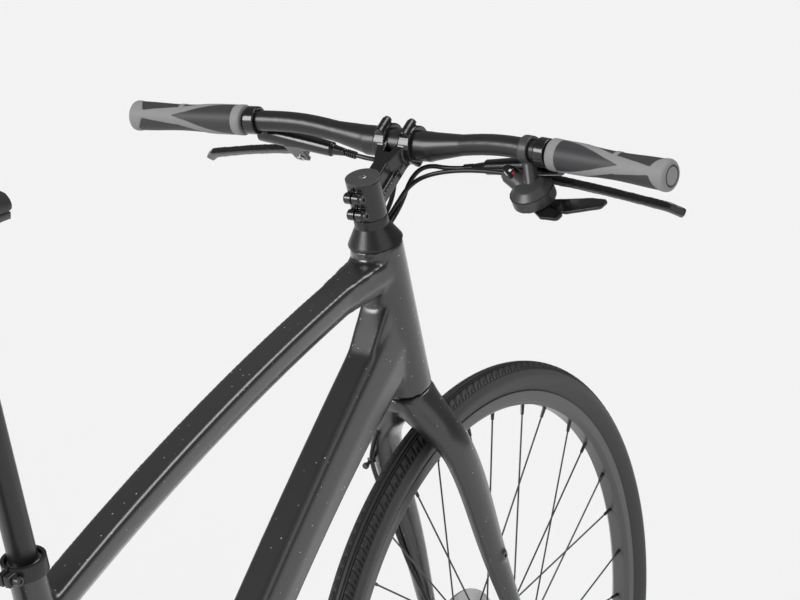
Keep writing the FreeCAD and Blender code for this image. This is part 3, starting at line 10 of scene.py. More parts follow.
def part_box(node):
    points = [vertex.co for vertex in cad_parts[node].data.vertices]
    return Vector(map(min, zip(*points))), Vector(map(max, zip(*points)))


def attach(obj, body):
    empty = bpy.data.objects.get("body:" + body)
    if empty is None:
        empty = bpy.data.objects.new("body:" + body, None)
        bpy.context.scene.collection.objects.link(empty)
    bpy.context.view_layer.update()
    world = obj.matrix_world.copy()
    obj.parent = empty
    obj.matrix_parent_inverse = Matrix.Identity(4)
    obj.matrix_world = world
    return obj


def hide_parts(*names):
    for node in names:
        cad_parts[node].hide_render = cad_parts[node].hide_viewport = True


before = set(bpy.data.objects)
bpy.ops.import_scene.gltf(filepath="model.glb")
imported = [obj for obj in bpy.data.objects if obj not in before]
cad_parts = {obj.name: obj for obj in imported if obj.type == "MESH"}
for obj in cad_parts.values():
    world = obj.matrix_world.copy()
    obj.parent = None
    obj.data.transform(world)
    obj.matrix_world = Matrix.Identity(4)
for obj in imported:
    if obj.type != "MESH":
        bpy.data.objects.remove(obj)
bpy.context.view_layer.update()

bl_info = {
    "name": "Hybrid bike",
    "version": (1, 0, 0),
    "blender": (4, 5, 0),
    "location": "View3D > Sidebar > Hybrid bike",
    "description": "Builds the painted, shod and cabled bike over its construction model",
    "category": "Add Mesh",
}

MM = 0.001


def spot(x, y, z):
    """Point given in millimetres."""
    return Vector((x, y, z)) * MM


def middle(node):
    """Centre of a construction node's box."""
    low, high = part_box(node)
    return (Vector(low) + Vector(high)) / 2


# Places in metres, and directions
FRONT_AXLE = middle("front_rim")
REAR_AXLE = middle("rear_rim")
WHEELS = (("front", FRONT_AXLE), ("rear", REAR_AXLE))
ACROSS = Vector((0, 1, 0))
STEER_UP = Vector((-0.333807, 0, 0.942641))
STEER_FORWARD = Vector((0.942641, 0, 0.333807))
SEAT_UP = Vector((-0.284015, 0, 0.95882))
SEAT_BACK = Vector((-0.95882, 0, -0.284015))
HEAD_LOW = spot(375.658, 0, 712.978)
SEAT_TOP = spot(-239.83, 0, 685.745)
BRACKET = spot(-120.83, 0, 284)
BOTTLE_BOSSES = (spot(20.3, 0, 478.7), spot(64.3, 0, 525.2))
BOSS_UP = Vector((-0.726, 0, 0.688))
BAR_CENTRE = HEAD_LOW + (STEER_FORWARD * 75.4 + STEER_UP * 251.8) * MM
STEM_REACH = (STEER_FORWARD * 69.4 + STEER_UP * 23.3).normalized()
BAR_END = spot(337.88, 330, 978.304)
GRIP_INNER = spot(350.12, 189.68, 984.3)
CLAMP_SEAT = spot(351.197, 179.733, 984.891)
HOSE_START = CLAMP_SEAT + spot(28, -100.4, -29)
HOSE_WAY = spot(2, -28, -5)
LEVER_PIVOT = spot(393.697, 143.733, 951.391)
LEVER_AXIS = Vector((0.61566, 0, 0.78801))
POD_CENTRE = spot(347.961, -169.83, 939.763)
POD_UP = Vector((-0.5001, 0.1, 0.8602))

# Radii of bores and half the bracket shell, in metres
THREAD = 0.0021
HEAD_BORE = 0.022
SEAT_BORE = 0.0137
SHELL_BORE = 0.0174
SHELL_HALF = 0.0335

# Sizes in millimetres
FORK_EYELET_AHEAD = 24
FORK_EYELET_DROP = 221
STEM_LOW = 208.0
STEM_HIGH = 249.0
EAR_LEVELS = (STEM_LOW + 11, STEM_HIGH - 11)
EAR_BACK = 21.5
STEM_BOLT_SIDE = 15.2
STEM_BOLT_RISE = 20
FLANGES = {"front": (22.0, -33.0), "rear": (34.0, -21.0)}
FLANGE_RADIUS = 22.5
SPOKE_REACH = 299.6
ROTOR_FACE = {"front": 40.4, "rear": 52.9}
RIM_HALF = 11.8
TYRE_RADIUS = 349.0
TREAD_HALF = 20.0
SIDEWALL_FROM = 18.4

# Counts
SPOKES_A_SIDE = 16
CUT_COLUMNS = 8


def steer(forward, left, up):
    """Point in the steering's own frame, in millimetres from the head tube's foot."""
    return HEAD_LOW + (STEER_FORWARD * forward + STEER_UP * up) * MM + ACROSS * left * MM


def mirror(point):
    """The same point on the other side of the bike."""
    return Vector((point.x, -point.y, point.z))


# Properties


def length_setting(name, description, default, low, high):
    """Length that a user may change, in metres."""
    return bpy.props.FloatProperty(
        name=name, description=description, default=default, min=low, max=high, unit="LENGTH")


def colour_setting(name, description, default):
    """Colour that a user may change."""
    return bpy.props.FloatVectorProperty(
        name=name, description=description, subtype="COLOR", size=3, default=default, min=0, max=1)


class HybridSizes(bpy.types.PropertyGroup):
    """Sizes of the finished looks."""

    frame_grain: length_setting(
        "Frame blend", "Cell size at which the frame's joints are blended", 0.0026, 0.0015, 0.006)
    fork_grain: length_setting(
        "Fork blend", "Cell size at which the fork's crown and legs are blended", 0.0022, 0.0015, 0.006)
    tread_depth: length_setting("Tread depth", "Depth of the grooves in the tyre", 0.0011, 0.0, 0.003)
    tread_pitches: bpy.props.IntProperty(
        name="Tread pitches", description="Number of slanted cuts round one shoulder of the tyre",
        default=168, min=60, max=240)
    spoke_radius: length_setting("Spoke radius", "Radius of a spoke", 0.001, 0.0006, 0.0015)
    lattice_height: length_setting(
        "Grip lattice height", "How far the pale lattice stands above the pads", 0.0006, 0.0, 0.002)
    hose_radius: length_setting("Hose radius", "Radius of the brake hoses", 0.0025, 0.0015, 0.004)


class HybridColours(bpy.types.PropertyGroup):
    """Colours of the finished looks."""

    paint: colour_setting("Paint", "Charcoal of frame and fork", (0.016, 0.016, 0.0172))
    fleck: colour_setting("Fleck", "Pale flecks in the paint", (0.6, 0.6, 0.6))
    satin: colour_setting("Satin black", "Bar, seatpost, headset cover and hubs", (0.015, 0.015, 0.0165))
    gloss: colour_setting("Gloss black", "Stem, brakes, levers, cranks and hoses", (0.008, 0.008, 0.009))
    plastic: colour_setting("Dark plastic", "Shifter, pedals, top cap and saddle shell", (0.05, 0.05, 0.052))
    grip_pale: colour_setting("Grip lattice", "Pale rubber of the grips", (0.24, 0.24, 0.24))
    grip_dark: colour_setting("Grip pads", "Dark rubber of the grips", (0.036, 0.036, 0.039))
    tread: colour_setting("Tread rubber", "Running face of the tyres", (0.026, 0.026, 0.028))
    sidewall: colour_setting("Sidewall rubber", "Sides of the tyres", (0.06, 0.06, 0.06))
    # Painted shade: the darkest colour, laid on the floors of the tyre's cuts to stand for the shade in them
    groove: colour_setting("Groove", "Floor of the tyre's cuts", (0.006, 0.006, 0.007))
    rim: colour_setting("Rim", "Satin grey of the rims", (0.085, 0.085, 0.086))
    steel: colour_setting("Bare steel", "Bolts, rotors and sprockets", (0.5, 0.5, 0.5))
    dark_steel: colour_setting("Dark steel", "Spokes, chain and saddle rails", (0.06, 0.06, 0.062))
    saddle: colour_setting("Saddle skin", "Cover of the saddle", (0.022, 0.022, 0.023))
    mark: colour_setting("Gear mark", "Pointer in the gear window", (0.5, 0.02, 0.05))
    window: colour_setting("Gear number", "Pale field in the gear window", (0.8, 0.8, 0.8))
    floor: colour_setting("Floor", "Pale floor", (0.925, 0.925, 0.925))


def sizes():
    """The bike's sizes in the scene."""
    return bpy.context.scene.hybrid_sizes


def colours():
    """The bike's colours in the scene."""
    return bpy.context.scene.hybrid_colours


# Materials


def new_material(name):
    """Material with one principled shader, and its tree and shader."""
    material = bpy.data.materials.new(name)
    material.use_nodes = True
    return material, material.node_tree, material.node_tree.nodes["Principled BSDF"]


def texture(tree, kind, **settings):
    """Texture node on object coordinates with its named inputs set."""
    node = tree.nodes.new(kind)
    where = tree.nodes.new("ShaderNodeTexCoord")
    tree.links.new(where.outputs["Object"], node.inputs["Vector"])
    for key, value in settings.items():
        node.inputs[key].default_value = value
    return node


def feed(tree, socket, value):
    """Links a socket to another one or sets its plain value."""
    if isinstance(value, bpy.types.NodeSocket):
        tree.links.new(value, socket)
    else:
        socket.default_value = value


def math_node(tree, operation, first, second):
    """Math node between sockets or numbers."""
    node = tree.nodes.new("ShaderNodeMath")
    node.operation = operation
    feed(tree, node.inputs[0], first)
    feed(tree, node.inputs[1], second)
    return node.outputs[0]


def mix_colour(tree, factor, first, second):
    """Mix of two colours, each a socket or plain, by a factor's socket."""
    node = tree.nodes.new("ShaderNodeMix")
    node.data_type = "RGBA"
    tree.links.new(factor, node.inputs["Factor"])
    feed(tree, node.inputs["A"], first if isinstance(first, bpy.types.NodeSocket) else (*first, 1))
    feed(tree, node.inputs["B"], second if isinstance(second, bpy.types.NodeSocket) else (*second, 1))
    return node.outputs["Result"]


def finish(name, colour, rough, metal=0.0, coat=0.0, grain=900.0, grain_depth=0.05, uneven=0.06):
    """Even finish with a fine grain in its gloss and its surface."""
    material, tree, shader = new_material(name)
    shader.inputs["Base Color"].default_value = (*colour, 1)
    shader.inputs["Metallic"].default_value = metal
    shader.inputs["Coat Weight"].default_value = coat
    shader.inputs["Coat Roughness"].default_value = 0.08
    noise = texture(tree, "ShaderNodeTexNoise", Scale=grain, Detail=2.0)
    spread = tree.nodes.new("ShaderNodeMapRange")
    spread.inputs["To Min"].default_value = max(rough - uneven, 0.03)
    spread.inputs["To Max"].default_value = rough + uneven
    tree.links.new(noise.outputs["Fac"], spread.inputs["Value"])
    tree.links.new(spread.outputs["Result"], shader.inputs["Roughness"])
    bump = tree.nodes.new("ShaderNodeBump")
    bump.inputs["Strength"].default_value = grain_depth
    bump.inputs["Distance"].default_value = 0.0002
    tree.links.new(noise.outputs["Fac"], bump.inputs["Height"])
    tree.links.new(bump.outputs["Normal"], shader.inputs["Normal"])
    return material


def flecked_paint(name, colour, fleck):
    """Satin paint with small pale flecks scattered through it."""
    material, tree, shader = new_material(name)
    cells = texture(tree, "ShaderNodeTexVoronoi", Scale=150.0)
    parts = tree.nodes.new("ShaderNodeSeparateColor")
    tree.links.new(cells.outputs["Color"], parts.inputs["Color"])
    near = math_node(tree, "LESS_THAN", cells.outputs["Distance"], 0.1)
    chosen = math_node(tree, "GREATER_THAN", parts.outputs["Red"], 0.5)
    both = math_node(tree, "MULTIPLY", near, chosen)
    dim = math_node(tree, "MULTIPLY", both, parts.outputs["Green"])
    tree.links.new(mix_colour(tree, dim, colour, fleck), shader.inputs["Base Color"])
    shader.inputs["Roughness"].default_value = 0.34
    shader.inputs["Coat Weight"].default_value = 1.0
    shader.inputs["Coat Roughness"].default_value = 0.22
    return material


def attribute(tree, name):
    """Socket of a number stored on the mesh."""
    node = tree.nodes.new("ShaderNodeAttribute")
    node.attribute_name = name
    return node.outputs["Fac"]


def tyre_rubber(name, tread, sidewall, groove):
    """Rubber that is darker on the running face than on the sides, with painted shade that darkens its cuts.
    """
    material, tree, shader = new_material(name)
    away = math_node(tree, "ABSOLUTE", attribute(tree, "across"), 0.0)
    side = math_node(tree, "GREATER_THAN", away, SIDEWALL_FROM)
    face = mix_colour(tree, side, tread, sidewall)
    # Painted shade: the cut mask pulls the colour towards the darkest tone on the floors of the grooves
    tree.links.new(mix_colour(tree, attribute(tree, "cut"), face, groove), shader.inputs["Base Color"])
    noise = texture(tree, "ShaderNodeTexNoise", Scale=700.0, Detail=3.0)
    bump = tree.nodes.new("ShaderNodeBump")
    bump.inputs["Strength"].default_value = 0.12
    bump.inputs["Distance"].default_value = 0.0003
    tree.links.new(noise.outputs["Fac"], bump.inputs["Height"])
    tree.links.new(bump.outputs["Normal"], shader.inputs["Normal"])
    shader.inputs["Roughness"].default_value = 0.5
    shader.inputs["Specular IOR Level"].default_value = 0.3
    return material


def ribbed_rubber(name, colour):
    """Dark grip rubber with a fine ribbing round the bar."""
    material, tree, shader = new_material(name)
    shader.inputs["Base Color"].default_value = (*colour, 1)
    shader.inputs["Roughness"].default_value = 0.5
    waves = tree.nodes.new("ShaderNodeTexWave")
    waves.bands_direction = "Y"
    waves.inputs["Scale"].default_value = 165.0
    where = tree.nodes.new("ShaderNodeTexCoord")
    tree.links.new(where.outputs["Object"], waves.inputs["Vector"])
    bump = tree.nodes.new("ShaderNodeBump")
    bump.inputs["Strength"].default_value = 0.35
    bump.inputs["Distance"].default_value = 0.0003
    tree.links.new(waves.outputs["Fac"], bump.inputs["Height"])
    tree.links.new(bump.outputs["Normal"], shader.inputs["Normal"])
    return material


def named_finish(name):
    """The named finish, made on first use."""
    look = "hybrid_" + name
    found = bpy.data.materials.get(look)
    if found:
        return found
    pick = colours()
    makers = {
        "charcoal_paint": lambda: flecked_paint(look, pick.paint, pick.fleck),
        "satin_black": lambda: finish(look, pick.satin, 0.31),
        "gloss_black": lambda: finish(look, pick.gloss, 0.2, coat=0.3, grain_depth=0.0),
        "anodised_black": lambda: finish(look, pick.plastic, 0.3, coat=0.3),
        "rim_grey": lambda: finish(look, pick.rim, 0.34, metal=0.25, coat=0.2),
        "dark_plastic": lambda: finish(look, pick.plastic, 0.36),
        "grip_pale": lambda: finish(look, pick.grip_pale, 0.6, grain=1400.0, grain_depth=0.2),
        "grip_dark": lambda: ribbed_rubber(look, pick.grip_dark),
        "tyre_rubber": lambda: tyre_rubber(look, pick.tread, pick.sidewall, pick.groove),
        "bare_steel": lambda: finish(look, pick.steel, 0.28, metal=1.0),
        "dark_steel": lambda: finish(look, pick.dark_steel, 0.32, metal=0.4),
        "hose_black": lambda: finish(look, pick.gloss, 0.34),
        "saddle_skin": lambda: finish(look, pick.saddle, 0.5, grain=420.0, grain_depth=0.3),
        "gear_mark": lambda: finish(look, pick.mark, 0.3),
        "window_white": lambda: finish(look, pick.window, 0.3),
    }
    return makers[name]()


# Shapes


def link(name, data):
    """Object for a mesh, curve, lamp or camera, linked to the scene."""
    piece = bpy.data.objects.new(name, data)
    bpy.context.scene.collection.objects.link(piece)
    return piece


def settle(piece):
    """Works the modifiers into a plain mesh."""
    bpy.context.view_layer.update()
    graph = bpy.context.evaluated_depsgraph_get()
    mesh = bpy.data.meshes.new_from_object(piece.evaluated_get(graph))
    piece.modifiers.clear()
    piece.data = mesh
    return piece


def dress(piece, finish_name, body, slot, *nodes, sharp=None):
    """Gives a piece its finish, smooth shading and body, and hides the nodes that it stands for; the slot is
    not used.
    """
    mesh = piece.data
    if finish_name:
        mesh.materials.clear()
        mesh.materials.append(named_finish(finish_name))
    mesh.polygons.foreach_set("use_smooth", [True] * len(mesh.polygons))
    if sharp:
        mesh.set_sharp_from_angle(angle=math.radians(sharp))
    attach(piece, body)
    if nodes:
        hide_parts(*nodes)
    return piece


def cad_mesh(*nodes):
    """Welded copy of construction nodes in the bike's frame."""
    shape = bmesh.new()
    for name in nodes:
        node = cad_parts[name]
        mesh = node.data.copy()
        mesh.transform(node.matrix_world)
        shape.from_mesh(mesh)
        bpy.data.meshes.remove(mesh)
    bmesh.ops.remove_doubles(shape, verts=shape.verts, dist=0.00001)
    mesh = bpy.data.meshes.new(nodes[0] + "_copy")
    shape.to_mesh(mesh)
    shape.free()
    mesh.materials.clear()
    return mesh


def plug(shape, start, end, radius, sides=48):
    """Adds a closed cylinder between two points."""
    along = end - start
    turn = along.to_track_quat("Z", "Y").to_matrix().to_4x4()
    where = Matrix.Translation((start + end) / 2) @ turn
    bmesh.ops.create_cone(shape, cap_ends=True, segments=sides, radius1=radius, radius2=radius,
                          depth=along.length, matrix=where)


def block(shape, corners):
    """Adds a closed block from its lower and its upper four corners."""
    made = [shape.verts.new(corner) for corner in corners]
    sides = ((3, 2, 1, 0), (4, 5, 6, 7), (0, 1, 5, 4), (1, 2, 6, 5), (2, 3, 7, 6), (3, 0, 4, 7))
    faces = [shape.faces.new([made[k] for k in side]) for side in sides]
    bmesh.ops.recalc_face_normals(shape, faces=faces)


def box_corners(at, along, across, up):
    """Corners of a block between pairs of steps along three axes of a placing function."""
    corners = []
    for z in up:
        corners += [at(along[0], across[0], z), at(along[1], across[0], z),
                    at(along[1], across[1], z), at(along[0], across[1], z)]
    return corners


def placed(origin, along, across, up):
    """Placing function for three axes from an origin."""
    def at(x, y, z):
        return origin + along * x + across * y + up * z
    return at


def solid_mesh(name, rods=(), blocks=()):
    """Mesh of closed cylinders and blocks."""
    shape = bmesh.new()
    for start, end, radius in rods:
        plug(shape, start, end, radius)
    for corners in blocks:
        block(shape, corners)
    mesh = bpy.data.meshes.new(name)
    shape.to_mesh(mesh)
    shape.free()
    return mesh


def carve(piece, rods=(), blocks=()):
    """Cuts cylinders and blocks out of a closed piece."""
    cutter = link(piece.name + "_cutter", solid_mesh(piece.name + "_cutter", rods, blocks))
    cut = piece.modifiers.new("carve", "BOOLEAN")
    cut.operation = "DIFFERENCE"
    cut.solver = "MANIFOLD"
    cut.object = cutter
    settle(piece)
    bpy.data.objects.remove(cutter)
    return piece


def web_corners(rear, front):
    """Corners of a block between two sections, each a low and a high pair of half width and middle point."""
    corners = []
    for level in (0, 1):
        for end, side in ((rear, -1), (front, -1), (front, 1), (rear, 1)):
            half, point = end[level]
            corners.append(point + ACROSS * (side * half * MM))
    return corners


def moulded(name, mesh, grain, rounds, bores=(), fills=(), webs=()):
    """Blends a copy into one skin with soft inner corners, then opens its bores again."""
    if fills or webs:
        shape = bmesh.new()
        shape.from_mesh(mesh)
        for start, end, radius in fills:
            plug(shape, start, end, radius)
        for corners in webs:
            block(shape, corners)
        shape.to_mesh(mesh)
        shape.free()
    piece = link(name, mesh)
    blend = piece.modifiers.new("blend", "REMESH")
    blend.mode = "VOXEL"
    blend.voxel_size = grain
    soften = piece.modifiers.new("soften", "SMOOTH")
    soften.factor = 0.5
    soften.iterations = rounds
    settle(piece)
    if bores:
        carve(piece, bores)
    return piece


def eased(name, mesh, width, segments=2):
    """Rounds the sharp edges of a machined piece."""
    piece = link(name, mesh)
    ease = piece.modifiers.new("ease", "BEVEL")
    ease.width = width
    ease.segments = segments
    ease.limit_method = "ANGLE"
    ease.angle_limit = math.radians(38)
    ease.use_clamp_overlap = True
    return settle(piece)


def lathe(name, profile, centre, columns, shear=None):
    """Closed outline of (radius, side) points turned round an axle, rows ahead by their shear in columns."""
    count = len(profile)
    points = []
    for column in range(columns):
        for row, (radius, side) in enumerate(profile):
            turn = 2 * math.pi * (column + (shear[row] if shear else 0)) / columns
            points.append(centre + Vector((radius * math.cos(turn), side, radius * math.sin(turn))))
    faces = []
    for column in range(columns):
        here = column * count
        there = (column + 1) % columns * count
        for row in range(count):
            after = (row + 1) % count
            faces.append((here + row, here + after, there + after, there + row))
    mesh = bpy.data.meshes.new(name)
    mesh.from_pydata(points, [], faces)
    return mesh


# Node trees


def geometry_tree(name, *inputs):
    """Empty geometry tree with a geometry in and out and the named inputs."""
    tree = bpy.data.node_groups.new(name, "GeometryNodeTree")
    tree.interface.new_socket(name="Geometry", in_out="INPUT", socket_type="NodeSocketGeometry")
    for label, kind in inputs:
        tree.interface.new_socket(name=label, in_out="INPUT", socket_type=kind)
    tree.interface.new_socket(name="Geometry", in_out="OUTPUT", socket_type="NodeSocketGeometry")
    return tree, tree.nodes.new("NodeGroupInput"), tree.nodes.new("NodeGroupOutput")


def join(tree, source, target, output=0, entry=0):
    """Links one node's output to another's input."""
    tree.links.new(source.outputs[output], target.inputs[entry])
    return target


def tree_once(maker):
    """The maker's tree, made on first use."""
    name = maker.__name__
    found = bpy.data.node_groups.get(name)
    if not found:
        found = maker()
        found.name = name
    return found


def run_tree(piece, tree, **values):
    """Runs a tree on a piece with its named inputs set, and keeps the plain mesh."""
    modifier = piece.modifiers.new(tree.name, "NODES")
    modifier.node_group = tree
    for item in tree.interface.items_tree:
        if item.in_out == "INPUT" and item.name in values:
            modifier[item.identifier] = values[item.name]
    return settle(piece)


def close_tree(tree, last, entry, out):
    """Ends a tree in real geometry with its material."""
    real = join(tree, last, tree.nodes.new("GeometryNodeRealizeInstances"))
    paint = join(tree, real, tree.nodes.new("GeometryNodeSetMaterial"))
    tree.links.new(entry.outputs["Material"], paint.inputs["Material"])
    join(tree, paint, out)


def copies_tree():
    """Puts a copy of a piece on every point, along the point's aim."""
    tree, entry, out = geometry_tree("copies_on_points", ("Piece", "NodeSocketObject"),
                                     ("Material", "NodeSocketMaterial"))
    put = join(tree, entry, tree.nodes.new("GeometryNodeInstanceOnPoints"))
    piece = tree.nodes.new("GeometryNodeObjectInfo")
    tree.links.new(entry.outputs["Piece"], piece.inputs["Object"])
    tree.links.new(piece.outputs["Geometry"], put.inputs["Instance"])
    aim = tree.nodes.new("GeometryNodeInputNamedAttribute")
    aim.data_type = "FLOAT_VECTOR"
    aim.inputs["Name"].default_value = "aim"
    turn = tree.nodes.new("FunctionNodeAlignRotationToVector")
    turn.axis = "Z"
    tree.links.new(aim.outputs["Attribute"], turn.inputs["Vector"])
    tree.links.new(turn.outputs["Rotation"], put.inputs["Rotation"])
    close_tree(tree, put, entry, out)
    return tree


def copies(name, template, places, finish_name):
    """Copies of a template mesh at (point, aim) places, as one plain mesh."""
    mesh = bpy.data.meshes.new(name)
    mesh.from_pydata([point for point, aim in places], [], [])
    aims = mesh.attributes.new("aim", "FLOAT_VECTOR", "POINT")
    for k, (point, aim) in enumerate(places):
        aims.data[k].vector = aim
    piece = link(name, mesh)
    pattern = link(name + "_pattern", template)
    run_tree(piece, tree_once(copies_tree), Piece=pattern, Material=named_finish(finish_name))
    bpy.data.objects.remove(pattern)
    return piece


def strands_tree():
    """Round strands along the edges of a mesh."""
    tree, entry, out = geometry_tree("strands", ("Radius", "NodeSocketFloat"),
                                     ("Material", "NodeSocketMaterial"))
    curve = join(tree, entry, tree.nodes.new("GeometryNodeMeshToCurve"))
    outline = tree.nodes.new("GeometryNodeCurvePrimitiveCircle")
    outline.inputs["Resolution"].default_value = 10
    tree.links.new(entry.outputs["Radius"], outline.inputs["Radius"])
    skin = join(tree, curve, tree.nodes.new("GeometryNodeCurveToMesh"))
    tree.links.new(outline.outputs["Curve"], skin.inputs["Profile Curve"])
    skin.inputs["Fill Caps"].default_value = True
    close_tree(tree, skin, entry, out)
    return tree


def between(tree, value, low, high):
    """1 where a value lies between two numbers, else 0."""
    above = math_node(tree, "GREATER_THAN", value, low)
    below = math_node(tree, "LESS_THAN", value, high)
    return math_node(tree, "MULTIPLY", above, below)


def tread_tree():
    """Sinks the tyre's grooves: two running lines a side, slanted shoulder cuts and short ones between."""
    tree, entry, out = geometry_tree("tread", ("Depth", "NodeSocketFloat"),
                                     ("Material", "NodeSocketMaterial"))
    cut_width = 1.5
    shoulder = (6.4, 17.2)
    outer_shoulder = (12.6, 17.2)
    inner_line = (2.2, 3.6)
    outer_line = (5.4, 6.6)

    def stored(name):
        node = tree.nodes.new("GeometryNodeInputNamedAttribute")
        node.data_type = "FLOAT"
        node.inputs["Name"].default_value = name
        return node.outputs["Attribute"]

    column = stored("column")
    away = math_node(tree, "ABSOLUTE", stored("across"), 0.0)
    in_pitch = math_node(tree, "MODULO", column, float(CUT_COLUMNS))
    long_cut = math_node(tree, "LESS_THAN", in_pitch, cut_width)
    long_cut = math_node(tree, "MULTIPLY", long_cut, between(tree, away, *shoulder))
    in_half_pitch = math_node(tree, "MODULO", column, CUT_COLUMNS / 2)
    short_cut = math_node(tree, "LESS_THAN", in_half_pitch, cut_width)
    short_cut = math_node(tree, "MULTIPLY", short_cut, between(tree, away, *outer_shoulder))
    lines = math_node(tree, "MAXIMUM", between(tree, away, *inner_line), between(tree, away, *outer_line))
    cuts = math_node(tree, "MAXIMUM", math_node(tree, "MAXIMUM", long_cut, short_cut), lines)
    sink = math_node(tree, "MULTIPLY", math_node(tree, "MULTIPLY", cuts, entry.outputs["Depth"]), -1.0)
    scale = tree.nodes.new("ShaderNodeVectorMath")
    scale.operation = "SCALE"
    tree.links.new(tree.nodes.new("GeometryNodeInputNormal").outputs["Normal"], scale.inputs[0])
    tree.links.new(sink, scale.inputs["Scale"])
    move = join(tree, entry, tree.nodes.new("GeometryNodeSetPosition"))
    tree.links.new(scale.outputs["Vector"], move.inputs["Offset"])
    # Keeps the cut mask, which the tyre's material uses to paint shade into the grooves
    keep = join(tree, move, tree.nodes.new("GeometryNodeStoreNamedAttribute"))
    keep.data_type = "FLOAT"
    keep.inputs["Name"].default_value = "cut"
    tree.links.new(cuts, keep.inputs["Value"])
    close_tree(tree, keep, entry, out)
    return tree


# Small patterns


def bolt_mesh(radius, height, socket):
    """Round bolt head with a six-sided socket, standing on the origin along Z."""
    mesh = bpy.data.meshes.new("bolt_head")
    sides = 24
    rings = [(radius, 0.0), (radius, height * 0.8), (radius * 0.86, height), (socket, height),
             (socket, height * 0.3)]
    first_socket_ring = 3
    points = []
    for ring, (reach, up) in enumerate(rings):
        for k in range(sides):
            turn = 2 * math.pi * k / sides
            fold = 1.0
            if ring >= first_socket_ring:
                fold = math.cos(math.pi / 6) / math.cos((turn % (math.pi / 3)) - math.pi / 6)
            points.append((reach * fold * math.cos(turn), reach * fold * math.sin(turn), up))
    faces = []
    for ring in range(len(rings) - 1):
        for k in range(sides):
            after = (k + 1) % sides
            here = ring * sides
            there = here + sides
            faces.append((here + k, here + after, there + after, there + k))
    faces.append(tuple(reversed(range(sides))))
    faces.append(tuple(range((len(rings) - 1) * sides, len(rings) * sides)))
    mesh.from_pydata(points, [], faces)
    return mesh


def nipple_mesh(radius, length):
    """Spoke nipple along Z, widest at the rim."""
    shape = bmesh.new()
    bmesh.ops.create_cone(shape, cap_ends=True, segments=10, radius1=radius * 0.8, radius2=radius,
                          depth=length, matrix=Matrix.Translation((0, 0, length / 2)))
    mesh = bpy.data.meshes.new("nipple")
    shape.to_mesh(mesh)
    shape.free()
    return mesh


# Operators


def head_webs():
    """Blocks that flare the top tube and the down tube into the head tube."""
    side_rear = spot(246.3, 0, 825.7)
    side_front = spot(326.5, 0, 849)
    upper = web_corners(((17, side_rear), (17.3, spot(241, 0, 843.1))),
                        ((27, side_front), (25.5, spot(320.7, 0, 867.9))))
    lower = web_corners(((8.7, spot(250.2, 0, 812.9)), (16.8, side_rear)),
                        ((19, spot(331.2, 0, 833.7)), (27, side_front)))
    down = web_corners(((17, spot(292.8, 0, 753.4)), (15, spot(284.8, 0, 761))),
                       ((21, steer(-6, 0, 88)), (18, steer(-14, 0, 124))))
    return [upper, lower, down]


class BuildFrame(bpy.types.Operator):
    """Frame with blended joints, its bores and its threaded holes"""

    bl_idname = "hybrid.frame"
    bl_label = "Frame"

    def execute(self, context):
        head = (steer(0, 0, 1), steer(0, 0, 177))
        seat_depth = 0.3
        seat = (SEAT_TOP - SEAT_UP * seat_depth, SEAT_TOP - SEAT_UP * 0.0006)
        shell = (BRACKET - ACROSS * SHELL_HALF, BRACKET + ACROSS * SHELL_HALF)
        through = 0.004
        boss_depth = 0.011
        eyelet_half = 0.008
        bores = [(head[0] - STEER_UP * through, head[1] + STEER_UP * through, HEAD_BORE),
                 (seat[0], seat[1] + SEAT_UP * 0.03, SEAT_BORE),
                 (shell[0] - ACROSS * through, shell[1] + ACROSS * through, SHELL_BORE)]
        fills = [(*head, HEAD_BORE + 0.0005), (*seat, SEAT_BORE + 0.0006), (*shell, SHELL_BORE + 0.0006)]
        for top in BOTTLE_BOSSES:
            bores.append((top + BOSS_UP * through, top - BOSS_UP * boss_depth, THREAD))
        for side in (-1, 1):
            eye = REAR_AXLE + spot(-6, side * 71, 17)
            bores.append((eye - ACROSS * eyelet_half, eye + ACROSS * eyelet_half, THREAD))
        nodes = ("frame", "top_tube", "rear_frame")
        piece = moulded("frame_paint", cad_mesh(*nodes), sizes().frame_grain, 7, bores, fills,
                        head_webs())
        dress(piece, "charcoal_paint", "frame_body", "frame_paint", *nodes, sharp=50)
        return {"FINISHED"}


class BuildFork(bpy.types.Operator):
    """Fork with its crown blended into the legs"""

    bl_idname = "hybrid.fork"
    bl_label = "Fork"

    def execute(self, context):
        bores = []
        for side in (-1, 1):
            outer = steer(FORK_EYELET_AHEAD, side * 74, -FORK_EYELET_DROP)
            inner = steer(FORK_EYELET_AHEAD, side * 58, -FORK_EYELET_DROP)
            bores.append((outer, inner, THREAD))
        piece = moulded("fork_paint", cad_mesh("fork"), sizes().fork_grain, 7, bores)
        dress(piece, "charcoal_paint", "steering", "frame_paint", "fork", sharp=60)
        return {"FINISHED"}


class BuildTyres(bpy.types.Operator):
    """Tyres with running lines and cut shoulders"""

    bl_idname = "hybrid.tyres"
    bl_label = "Tyres"

    def execute(self, context):
        columns = sizes().tread_pitches * CUT_COLUMNS
        profile, across, shear = tyre_profile()
        for wheel, centre in WHEELS:
            name = wheel + "_tyre"
            mesh = lathe(name, profile, centre, columns, shear)
            kept = mesh.attributes.new("across", "FLOAT", "POINT")
            kept.data.foreach_set("value", across * columns)
            kept = mesh.attributes.new("column", "FLOAT", "POINT")
            kept.data.foreach_set("value", [float(k) for k in range(columns) for row in profile])
            piece = link(name + "_rubber", mesh)
            run_tree(piece, tree_once(tread_tree), Depth=sizes().tread_depth,
                     Material=named_finish("tyre_rubber"))
            dress(piece, None, wheel + "_wheel", "tyre", name, sharp=45)
        return {"FINISHED"}


